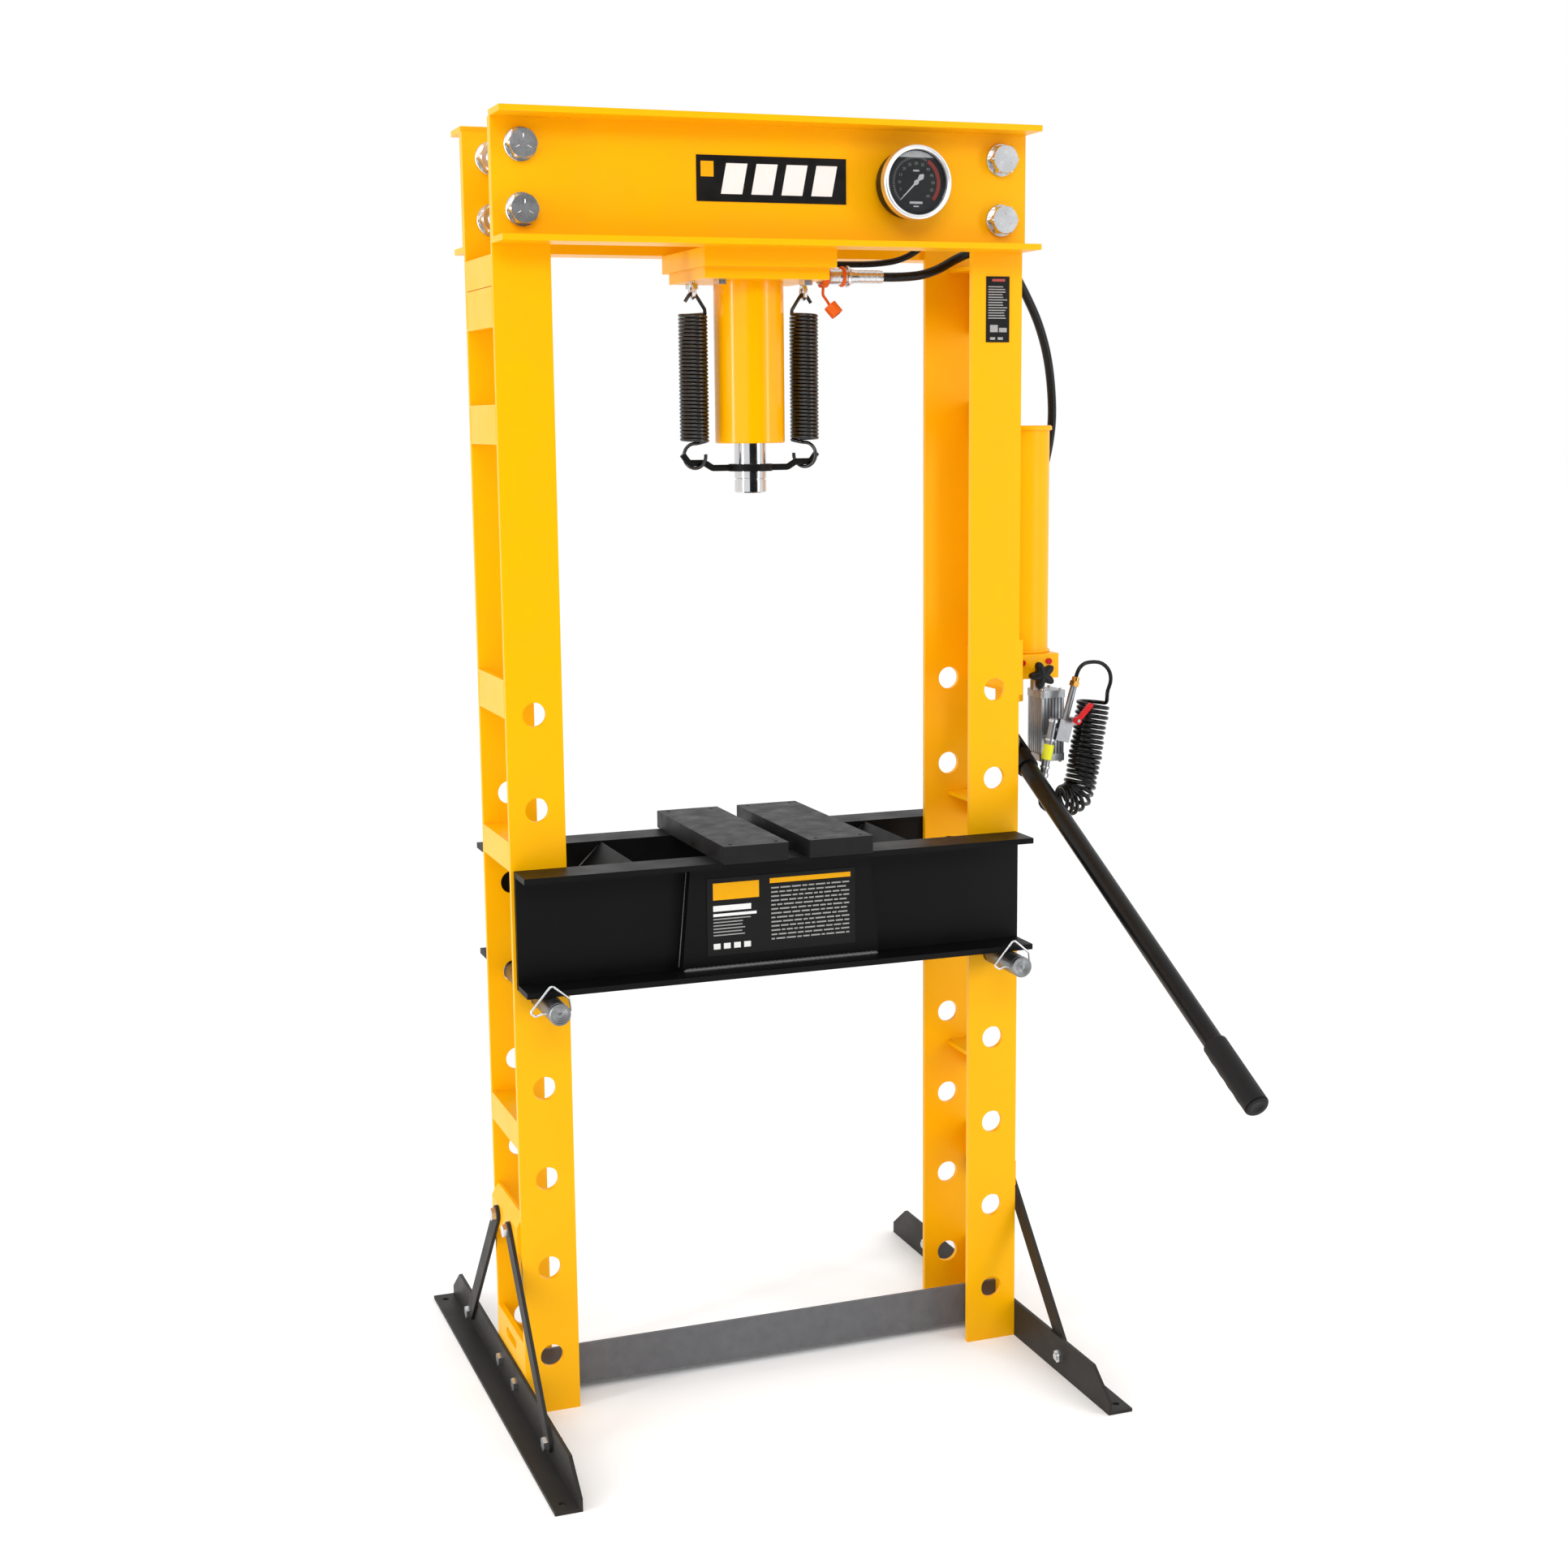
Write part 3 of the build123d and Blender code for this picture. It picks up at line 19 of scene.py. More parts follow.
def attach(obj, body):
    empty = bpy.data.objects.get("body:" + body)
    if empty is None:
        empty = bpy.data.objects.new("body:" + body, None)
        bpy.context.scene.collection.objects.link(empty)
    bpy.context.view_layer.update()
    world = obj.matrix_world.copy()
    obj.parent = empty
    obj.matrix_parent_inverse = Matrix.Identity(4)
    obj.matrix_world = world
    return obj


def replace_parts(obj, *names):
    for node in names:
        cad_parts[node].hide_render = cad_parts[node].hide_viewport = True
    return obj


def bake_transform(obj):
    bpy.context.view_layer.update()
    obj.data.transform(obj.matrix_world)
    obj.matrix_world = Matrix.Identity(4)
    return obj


MM = 0.001
ACROSS, DEEP, UP = (1, 0, 0), (0, 1, 0), (0, 0, 1)
CORE = 0.01  # radius that closes a turned profile on its axis
LOG = logging.getLogger("shop_press")
Array = np.ndarray
Point = Tuple[float, float, float]
Profile = Sequence[Tuple[float, float]]


class Body(str, Enum):
    """Rigid bodies of the press that new pieces ride on."""

    FRAME = "frame"
    RAM = "ram"
    BED = "bed"
    HANDLE = "handle"
    KNOB = "knob"
    NEEDLE = "needle"
    LEFT_PIN = "left_pin"
    RIGHT_PIN = "right_pin"
    LEFT_CLIP = "left_clip"
    RIGHT_CLIP = "right_clip"


# ------------------------------------------------------------------ finishes
def linear(hex_colour: str) -> Tuple[float, float, float, float]:
    """Turn an sRGB hex colour into linear RGBA.

    Args:
        hex_colour: Six digits, with or without a leading hash sign.

    Returns:
        The linear colour with an alpha of one.
    """
    digits = hex_colour.lstrip("#")
    parts = [int(digits[i : i + 2], 16) / 255 for i in (0, 2, 4)]
    bent = [c / 12.92 if c <= 0.04045 else ((c + 0.055) / 1.055) ** 2.4 for c in parts]
    return (bent[0], bent[1], bent[2], 1.0)


def add_node(tree: bpy.types.NodeTree, kind: str, links: Optional[Dict] = None, **settings):
    """Add a shader node, set its properties and inputs, and link its inputs.

    Args:
        tree: The material's node tree.
        kind: The node's type name.
        links: Input name or number to the output socket that feeds it.
        **settings: Properties by name, or inputs as in_ and the input's name with underscores.

    Returns:
        The new node.
    """
    node = tree.nodes.new(kind)
    for name, value in settings.items():
        if name.startswith("in_"):
            node.inputs[name[3:].replace("_", " ")].default_value = value
        else:
            setattr(node, name, value)
    for name, socket in (links or {}).items():
        tree.links.new(socket, node.inputs[name])
    return node


@dataclass(frozen=True)
class Finish:
    """A surface finish: two close colours, gloss that varies and a fine relief.

    Attributes:
        name: Material name, of the real stuff and how it was made.
        colour: sRGB hex of the main colour.
        shade: sRGB hex of the colour that it drifts to.
        metallic: How metallic, 0 or 1.
        roughness: Lowest and highest roughness.
        drift_mm: Size of the patches of colour and gloss.
        grain_mm: Size of the relief's grains.
        relief: Strength of the relief.
        ior: Index of refraction; a metal keeps the default.
        stretch: Scale of the grain along X, Y and Z, to draw it out in one direction.
        transmission: How much light goes through.
        specular: Strength of the mirror-like share; the satin coats here scatter most of it.
    """

    name: str
    colour: str
    shade: str
    metallic: float = 0.0
    roughness: Tuple[float, float] = (0.3, 0.4)
    drift_mm: float = 60.0
    grain_mm: float = 1.2
    relief: float = 0.05
    ior: float = 1.5
    stretch: Point = (1.0, 1.0, 1.0)
    transmission: float = 0.0
    specular: float = 0.5

    def material(self) -> bpy.types.Material:
        """Build the material once and return it."""
        made = bpy.data.materials.get(self.name)
        if made is not None:
            return made
        made = bpy.data.materials.new(self.name)
        made.use_nodes = True
        tree = made.node_tree
        tree.nodes.clear()
        coord = add_node(tree, "ShaderNodeTexCoord").outputs["Object"]
        place = add_node(tree, "ShaderNodeMapping", {"Vector": coord}, in_Scale=self.stretch)
        drift = add_node(tree, "ShaderNodeTexNoise", {"Vector": place.outputs[0]},
                         in_Scale=1 / (self.drift_mm * MM), in_Detail=4.0, in_Roughness=0.55)
        tint = add_node(tree, "ShaderNodeMix", {"Factor": drift.outputs["Fac"]},
                        data_type="RGBA")
        for socket, value in zip([s for s in tint.inputs if s.type == "RGBA"],
                                 (linear(self.colour), linear(self.shade))):
            socket.default_value = value
        gloss = add_node(tree, "ShaderNodeMapRange", {"Value": drift.outputs["Fac"]},
                         in_From_Min=0.3, in_From_Max=0.7, in_To_Min=self.roughness[0],
                         in_To_Max=self.roughness[1])
        grain = add_node(tree, "ShaderNodeTexNoise", {"Vector": place.outputs[0]},
                         in_Scale=1 / (self.grain_mm * MM), in_Detail=2.0)
        bump = add_node(tree, "ShaderNodeBump", {"Height": grain.outputs["Fac"]},
                        in_Strength=self.relief, in_Distance=0.1 * self.grain_mm * MM)
        colour = [s for s in tint.outputs if s.type == "RGBA"][0]
        shader = add_node(
            tree, "ShaderNodeBsdfPrincipled",
            {"Base Color": colour, "Roughness": gloss.outputs[0], "Normal": bump.outputs[0]},
            in_Metallic=self.metallic, in_Transmission_Weight=self.transmission,
            in_Specular_IOR_Level=self.specular)
        if self.metallic == 0.0:
            shader.inputs["IOR"].default_value = self.ior
        add_node(tree, "ShaderNodeOutputMaterial", {"Surface": shader.outputs[0]})
        return made


# Powder coat, sprayed and baked: even colour, soft orange peel and a broad, soft shine.
YELLOW = Finish("powder_coat_yellow_baked", "#FAB700", "#F7AF00", roughness=(0.30, 0.38),
                grain_mm=2.2, relief=0.10, specular=0.16)
# Two-part enamel on the turned cylinder: harder shine with clear streaks of the lamps.
ENAMEL = Finish("two_part_enamel_yellow", "#FAB100", "#F6AA00", roughness=(0.14, 0.2),
                grain_mm=2.6, relief=0.05, specular=0.32)
# The same powder in satin black: the shine only shows along edges and near the lamps.
BLACK = Finish("powder_coat_black_satin", "#070707", "#0C0C0D", roughness=(0.40, 0.52),
               grain_mm=1.6, relief=0.2, specular=0.13)
# Thinner powder over plain angle: greyer than the bed and a little dusty.
CHARCOAL = Finish("powder_coat_charcoal_satin", "#252321", "#2E2B28", roughness=(0.45, 0.6),
                  grain_mm=1.6, relief=0.25, specular=0.2)
# Sprayed primer: flat, with lighter clouds where it went on thin.
RAIL = Finish("primer_grey_sprayed", "#555558", "#6E6E70", roughness=(0.45, 0.65),
              grain_mm=1.4, relief=0.3, drift_mm=16, specular=0.3)
# Blackened and ground flat: soft grey tops with faint wear.
PLATE = Finish("phosphated_steel_plate_ground", "#151516", "#1E1E1F", roughness=(0.38, 0.55),
               drift_mm=30, grain_mm=0.8, relief=0.3, specular=0.16)
# Zinc plate over rolled steel: bright, a little cloudy.
ZINC = Finish("zinc_plated_steel", "#DDDFE1", "#D0D2D5", metallic=1.0, roughness=(0.24, 0.3),
              drift_mm=22, grain_mm=0.8, relief=0.01)
# Drawn bar under thin zinc: dull, with fine lines round it.
PIN_STEEL = Finish("zinc_plated_bar_drawn", "#9C9EA0", "#727476", metallic=1.0,
                   roughness=(0.28, 0.45), drift_mm=8, grain_mm=0.7, relief=0.3,
                   stretch=(1.0, 0.2, 1.0))
# Hard chrome, ground: near mirror with faint grinding rings.
CHROME = Finish("hard_chrome_ground", "#DADCDE", "#C6C8CB", metallic=1.0, roughness=(0.08, 0.16),
                drift_mm=25, grain_mm=0.6, relief=0.05, stretch=(0.2, 0.2, 1.0))
# Stainless rim, rolled and brushed: pale and even.
SATIN = Finish("stainless_rim_brushed", "#F2F3F4", "#E6E7E9", metallic=1.0, roughness=(0.3, 0.4),
               drift_mm=18, grain_mm=0.5, relief=0.06)
# Turned steel left bright: clear but not mirror-like.
STEEL = Finish("turned_steel_bright", "#A0A2A5", "#86888B", metallic=1.0, roughness=(0.25, 0.4),
               drift_mm=12, grain_mm=0.8, relief=0.1)
# Dipped lacquer on spring wire: each turn carries its own small highlight.
LACQUER = Finish("spring_steel_black_lacquer", "#050505", "#0A0A0A", roughness=(0.16, 0.28),
                 drift_mm=15, grain_mm=1.0, relief=0.1, specular=0.7)
# Gloss paint on the drawn tube: one long soft streak.
HANDLE_PAINT = Finish("gloss_enamel_black", "#080808", "#0F0F10", roughness=(0.24, 0.34),
                      grain_mm=1.8, relief=0.12, specular=0.22)
# Moulded rubber: dull, it takes the light only along its edges.
GRIP = Finish("moulded_rubber_grip", "#0C0C0D", "#151516", roughness=(0.4, 0.55), grain_mm=0.8,
              relief=0.35, ior=1.52, specular=0.2)
# Rubber cover of a braided hose: dark with a waxy sheen.
HOSE = Finish("hose_cover_synthetic_rubber", "#070708", "#101011", roughness=(0.24, 0.36),
              drift_mm=10, grain_mm=1.0, relief=0.2, ior=1.52, specular=0.25)
# Extruded plastic tube: smooth, with small sharp highlights.
AIR_HOSE = Finish("polyurethane_tube_extruded", "#050505", "#0B0B0C", roughness=(0.16, 0.26),
                  drift_mm=12, grain_mm=1.2, relief=0.06, specular=0.24)
# Dust cap rubber: flat, strong colour.
ORANGE = Finish("moulded_rubber_orange", "#E26208", "#D65804", roughness=(0.38, 0.5),
                drift_mm=8, grain_mm=0.6, relief=0.2, ior=1.52, specular=0.2)
# Moulded plastic: strong colour and a mild shine.
RED = Finish("moulded_abs_red", "#D0080E", "#B4060B", roughness=(0.28, 0.4), drift_mm=8,
             grain_mm=0.6, relief=0.08, specular=0.2)
# Glass-filled nylon: fine-grained, nearly matt.
KNOB_PLASTIC = Finish("moulded_nylon_black", "#080809", "#101011", roughness=(0.32, 0.46),
                      drift_mm=10, grain_mm=0.6, relief=0.25, specular=0.22)
# Blasted casting: grainy and pale, with no clear reflection.
ALUMINIUM = Finish("cast_aluminium_blasted", "#B3B6B9", "#9A9DA1", metallic=1.0,
                   roughness=(0.36, 0.52), drift_mm=12, grain_mm=0.7, relief=0.5)
# Machined brass: warm and bright at the edges.
BRASS = Finish("brass_machined", "#D3A052", "#B98540", metallic=1.0, roughness=(0.22, 0.36),
               drift_mm=6, grain_mm=0.5, relief=0.12)
# Coloured band: the brightest spot on the pump.
BAND = Finish("vinyl_band_lime", "#E6E41C", "#D8DA12", roughness=(0.35, 0.45), drift_mm=6,
              grain_mm=0.6, relief=0.1)
# Label stock: even black with a light sheen.
FILM = Finish("printed_vinyl_film_black", "#0C0C0C", "#121212", roughness=(0.3, 0.42),
              drift_mm=20, grain_mm=0.9, relief=0.06, specular=0.2)
# Screen inks: flat, opaque and slightly raised.
INK_WHITE = Finish("screen_ink_white", "#F1F1EF", "#E6E6E4", roughness=(0.35, 0.45), drift_mm=8,
                   grain_mm=0.5, relief=0.05)
INK_GREY = Finish("screen_ink_grey", "#A9A9A8", "#8F8F8E", roughness=(0.4, 0.5), drift_mm=4,
                  grain_mm=0.5, relief=0.05)
INK_YELLOW = Finish("screen_ink_yellow", "#F0AC08", "#EAA404", roughness=(0.35, 0.45),
                    drift_mm=8, grain_mm=0.5, relief=0.05, specular=0.15)
INK_RED = Finish("screen_ink_red", "#B4443C", "#A03830", roughness=(0.4, 0.5), drift_mm=4,
                 grain_mm=0.5, relief=0.05)
# Painted reflection: a pale, soft patch at the top of the dial, behind the window, stands for the
# light on the domed window.
DOME_REFLECTION = Finish("painted_dome_reflection", "#C9CCCB", "#F0F1F0", roughness=(0.25, 0.35),
                drift_mm=7, grain_mm=2.0, relief=0.05)
# Printed card: matt, a shade lighter than the ring round it.
DIAL = Finish("dial_card_black_printed", "#202224", "#2A2C2E", roughness=(0.45, 0.55),
              drift_mm=10, grain_mm=0.5, relief=0.05)
# Enamel on stamped sheet: clean white.
NEEDLE = Finish("needle_enamel_white", "#F4F4F2", "#E8E8E6", roughness=(0.3, 0.4), drift_mm=5,
                grain_mm=0.5, relief=0.05)
# Cast acrylic: clear, with a faint reflection.
GLASS = Finish("acrylic_window_cast", "#FFFFFF", "#F6FAFB", roughness=(0.02, 0.05), drift_mm=40,
               grain_mm=4.0, relief=0.01, ior=1.49, transmission=1.0)
# Paint over weld ripples: breaks the light into short dashes.
WELD = Finish("weld_bead_painted_yellow", "#F7AE00", "#EEA200", roughness=(0.34, 0.48),
              drift_mm=6, grain_mm=1.0, relief=0.5, specular=0.2)
# The same on the black bed: ripples that shine more than the flat satin round them. The colour is
# lighter than the bed's black and mottled pale grey: painted glints.
WELD_BLACK_GLINTS = Finish("weld_bead_black_painted_glints", "#2A2A2B", "#6A6A6B", roughness=(0.26, 0.4),
                    drift_mm=3, grain_mm=1.0, relief=0.8, specular=0.9)


# ------------------------------------------------------------------ surfaces
@dataclass
class Patch:
    """A surface on a grid of points, with its four-cornered faces and end loops.

    Attributes:
        points: Points of the patch, one row each.
        quads: Corners of the faces, as numbers of points.
        loops: Closing faces at the ends, as lists of point numbers.
    """

    points: Array
    quads: Array
    loops: List[List[int]] = field(default_factory=list)


def grid_patch(points: Array, ring: bool = False) -> Patch:
    """Join a grid of points, closed round each row: each cell of rows by columns is one face.

    Args:
        points: Rows by columns by three.
        ring: Whether the last row joins the first; if not, both end rows get a closing face.

    Returns:
        The patch.
    """
    rows, cols = points.shape[:2]
    row, left = np.arange(rows if ring else rows - 1)[:, None], np.arange(cols)[None, :]
    low, high, right = row * cols, (row + 1) % rows * cols, (left + 1) % cols
    quads = np.stack(np.broadcast_arrays(low + left, low + right, high + right, high + left), -1)
    ends = [] if ring else [list(range(cols))[::-1], list(range((rows - 1) * cols, rows * cols))]
    return Patch(points.reshape(-1, 3), quads.reshape(-1, 4), ends)


def unit(rows: Array) -> Array:
    """Rows scaled to a length of one."""
    return rows / np.linalg.norm(rows, axis=1, keepdims=True)


def basis(direction: Sequence[float]) -> Tuple[Array, Array, Array]:
    """Right-handed unit vectors whose third one points along the direction."""
    z = np.asarray(direction, float) / np.linalg.norm(direction)
    side = np.array([1.0, 0, 0]) if abs(z[0]) < 0.9 else np.array([0, 1.0, 0])
    x = np.cross(side, z)
    x /= np.linalg.norm(x)
    return x, np.cross(z, x), z


def turned(profile: Profile, origin: Point, direction: Sequence[float],
           sides: int = 64, reach: Optional[Callable[[Array, Array], Array]] = None) -> Patch:
    """Turn a profile of (radius, height) round an axis: point = origin + h*z + r*(cos x + sin y).

    Args:
        profile: Radius and height pairs in millimetres, in order along the surface.
        origin: Where height is zero, in millimetres.
        direction: The axis.
        sides: Points round the axis.
        reach: Changes the radius by angle and height, such as into a hexagon.

    Returns:
        The patch, closed by a face at each end.
    """
    x, y, z = basis(direction)
    r, h = np.array(profile, float).T[:, :, None]
    angle = np.linspace(0, 2 * math.pi, sides, endpoint=False)[None, :]
    radius = np.broadcast_to(r, (len(profile), sides))
    if reach is not None:
        radius = reach(radius, np.broadcast_to(angle, radius.shape))
    points = (np.array(origin) + h[..., None] * z + (radius * np.cos(angle))[..., None] * x
              + (radius * np.sin(angle))[..., None] * y)
    return grid_patch(points * MM)


def ring_turned(profile: Profile, origin: Point,
                direction: Sequence[float], sides: int = 64,
                reach: Optional[Callable[[Array, Array], Array]] = None) -> Patch:
    """Turn a closed profile round an axis, so that its last row joins its first."""
    shape = turned(profile, origin, direction, sides, reach)
    return grid_patch(shape.points.reshape(len(profile), sides, 3), ring=True)


def hexed(flats: float) -> Callable[[Array, Array], Array]:
    """Limit a radius to a hexagon: flats/2 over the cosine of the angle off the flat.

    Args:
        flats: Size across the flats in millimetres.

    Returns:
        A function of radius and angle that gives the limited radius.
    """
    def reach(radius: Array, angle: Array) -> Array:
        """Smaller of the radius and the hexagon's own."""
        off = (angle + math.pi / 6) % (math.pi / 3) - math.pi / 6
        return np.minimum(radius, flats / 2 / np.cos(off))
    return reach


def sweep(path: Array, radius: Array, normal: Array, sides: int) -> Patch:
    """Carry a circle along a path: point = path + r*(cos a*n + sin a*b), n and b square to it.

    Args:
        path: Points in millimetres, rows of three.
        radius: Radius at each point in millimetres, or one for all.
        normal: The unit vector n at each point.
        sides: Points round the circle.

    Returns:
        The patch, closed at both ends.
    """
    b = np.cross(unit(np.gradient(path, axis=0)), normal)
    angle = np.linspace(0, 2 * math.pi, sides, endpoint=False)[None, :, None]
    r = np.broadcast_to(np.asarray(radius, float), (len(path),))[:, None, None]
    points = path[:, None] + r * (np.cos(angle) * normal[:, None] + np.sin(angle) * b[:, None])
    return grid_patch(points * MM)


def pipe(path: Array, radius: Array, sides: int = 16, lean: Sequence[float] = UP) -> Patch:
    """Sweep a circle along a path, its n square to the path and to a fixed direction.

    Args:
        path: Points in millimetres, rows of three.
        radius: Radius at each point in millimetres, or one for all.
        sides: Points round the circle.
        lean: A direction that the path never runs along.

    Returns:
        The patch, closed at both ends.
    """
    path = np.asarray(path, float)
    run = unit(np.gradient(path, axis=0))
    return sweep(path, radius, unit(np.cross(np.asarray(lean, float), run)), sides)


def bead(start: Point, end: Point, radius: float = 3.0, pitch: float = 4.0) -> Patch:
    """Weld bead: a round bar whose radius swells by a tenth once in each pitch.

    Args:
        start: One end in millimetres.
        end: The other end.
        radius: Middle radius of the bar.
        pitch: Length of one ripple.

    Returns:
        The bead, thinner at its ends.
    """
    a, b = np.array(start, float), np.array(end, float)
    length = float(np.linalg.norm(b - a))
    count = max(8, int(length / pitch * 4))
    t = np.linspace(0, 1, count)
    swell = radius * (0.92 + 0.10 * np.sin(2 * math.pi * t * length / pitch))
    ends = np.clip(np.minimum(t, 1 - t) * length / radius, 0.35, 1.0)
    lean = (0, 0, 1) if abs((b - a)[2]) < 0.7 * length else (1, 0, 0)
    return pipe(a + t[:, None] * (b - a), swell * ends, 10, lean)


def slab(low: Point, high: Point, edge: float = 0.4) -> Patch:
    """Plate with softened edges: stacked rounded rectangles, smaller at the top and bottom.

    Args:
        low: Lowest corner in millimetres.
        high: Highest corner.
        edge: Radius of the edges, and how far the end rows are drawn in.

    Returns:
        The plate, closed.
    """
    low_, high_ = np.array(low, float), np.array(high, float)
    centre, half = (low_ + high_) / 2, (high_ - low_) / 2
    thin = int(np.argmin(half))
    u, v = [k for k in range(3) if k != thin]
    if thin == 1:
        u, v = v, u
    e = min(edge, half[thin] * 0.9)
    corner = np.repeat([0, 1, 2, 3], 4)
    angle = np.tile(np.linspace(0, math.pi / 2, 4), 4) + corner * math.pi / 2
    sx, sy = np.array([1, -1, -1, 1])[corner], np.array([1, 1, -1, -1])[corner]
    rows = []
    for inset, height in ((e, -half[thin]), (0, -half[thin] + e), (0, half[thin] - e),
                          (e, half[thin])):
        row = np.zeros((16, 3))
        row[:, u] = sx * (half[u] - 2 * e) + (2 * e - inset) * np.cos(angle)
        row[:, v] = sy * (half[v] - 2 * e) + (2 * e - inset) * np.sin(angle)
        row[:, thin] = height
        rows.append(row + centre)
    return grid_patch(np.array(rows) * MM)


def sheet(outline: Array, back: float, front: float) -> Patch:
    """Thin plate with that outline in (x, z), between two places along Y in millimetres."""
    rows = [np.stack([outline[:, 0], np.full(len(outline), y), outline[:, 1]], 1)
            for y in (back, front)]
    return grid_patch(np.array(rows) * MM)


def printed(x0: float, x1: float, z0: float, z1: float, face: float) -> Patch:
    """A block of ink on a face that looks towards -Y, 0.15 mm thick."""
    return slab((x0, face - 0.15, z0), (x1, face + 0.05, z1), 0.05)


def add_object(name: str, data: bpy.types.ID) -> bpy.types.Object:
    """Put new data into the scene as an object at the origin."""
    obj = bpy.data.objects.new(name, data)
    bpy.context.scene.collection.objects.link(obj)
    return obj


def final_mesh(obj: bpy.types.Object) -> bpy.types.Mesh:
    """Turn a text or curve object into a mesh, and remove the object."""
    bpy.context.view_layer.update()
    mesh = bpy.data.meshes.new_from_object(
        obj.evaluated_get(bpy.context.evaluated_depsgraph_get()))
    bpy.data.objects.remove(obj)
    return mesh


def build(name: str, patches: Iterable[Patch], finish: Finish, smooth: float = 40.0,
          body: Body = Body.FRAME) -> bpy.types.Object:
    """Make one object from patches, dress it and let it ride on its body.

    Args:
        name: The object's name.
        patches: Surfaces in metres, in the row frame.
        finish: Its finish.
        smooth: Edges sharper than this many degrees stay sharp.
        body: The body that it moves with.

    Returns:
        The new object.
    """
    points, faces, base = [], [], 0
    for patch in patches:
        points.append(patch.points)
        faces += (patch.quads + base).tolist()
        faces += [[k + base for k in loop] for loop in patch.loops]
        base += len(patch.points)
    mesh = bpy.data.meshes.new(name)
    mesh.from_pydata(np.concatenate(points).tolist(), [], faces)
    mesh.validate()
    mesh.polygons.foreach_set("use_smooth", np.ones(len(mesh.polygons), bool))
    mesh.set_sharp_from_angle(angle=math.radians(smooth))
    mesh.materials.append(finish.material())
    obj = add_object(name, mesh)
    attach(obj, body.value)
    outward(obj)
    LOG.info("%s: %d faces on %s", name, len(mesh.polygons), body.value)
    return obj


def outward(obj: bpy.types.Object) -> None:
    """Turn every face of a closed mesh outwards."""
    work = bmesh.new()
    work.from_mesh(obj.data)
    bmesh.ops.recalc_face_normals(work, faces=work.faces)
    work.to_mesh(obj.data)
    work.free()


def dress(finish: Finish, *nodes: str, soften: float = 0.0) -> None:
    """Give CAD nodes a finish and, where asked, soft edges.

    Args:
        finish: The finish.
        *nodes: Names of the nodes.
        soften: Width of the soft edges in millimetres, or zero for none.
    """
    for name in nodes:
        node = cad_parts[name]
        if not node.material_slots:
            node.data.materials.append(finish.material())
        for slot in node.material_slots:
            slot.link = "OBJECT"
            slot.material = finish.material()
        if soften:
            weld = node.modifiers.new("merge", "WELD")
            weld.merge_threshold = 0.01 * MM
            edge = node.modifiers.new("soft_edge", "BEVEL")
            edge.width = soften * MM
            edge.segments = 2
            edge.limit_method = "ANGLE"
            edge.angle_limit = math.radians(50)
            even = node.modifiers.new("even_faces", "WEIGHTED_NORMAL")
            even.keep_sharp = False
            even.weight = 90


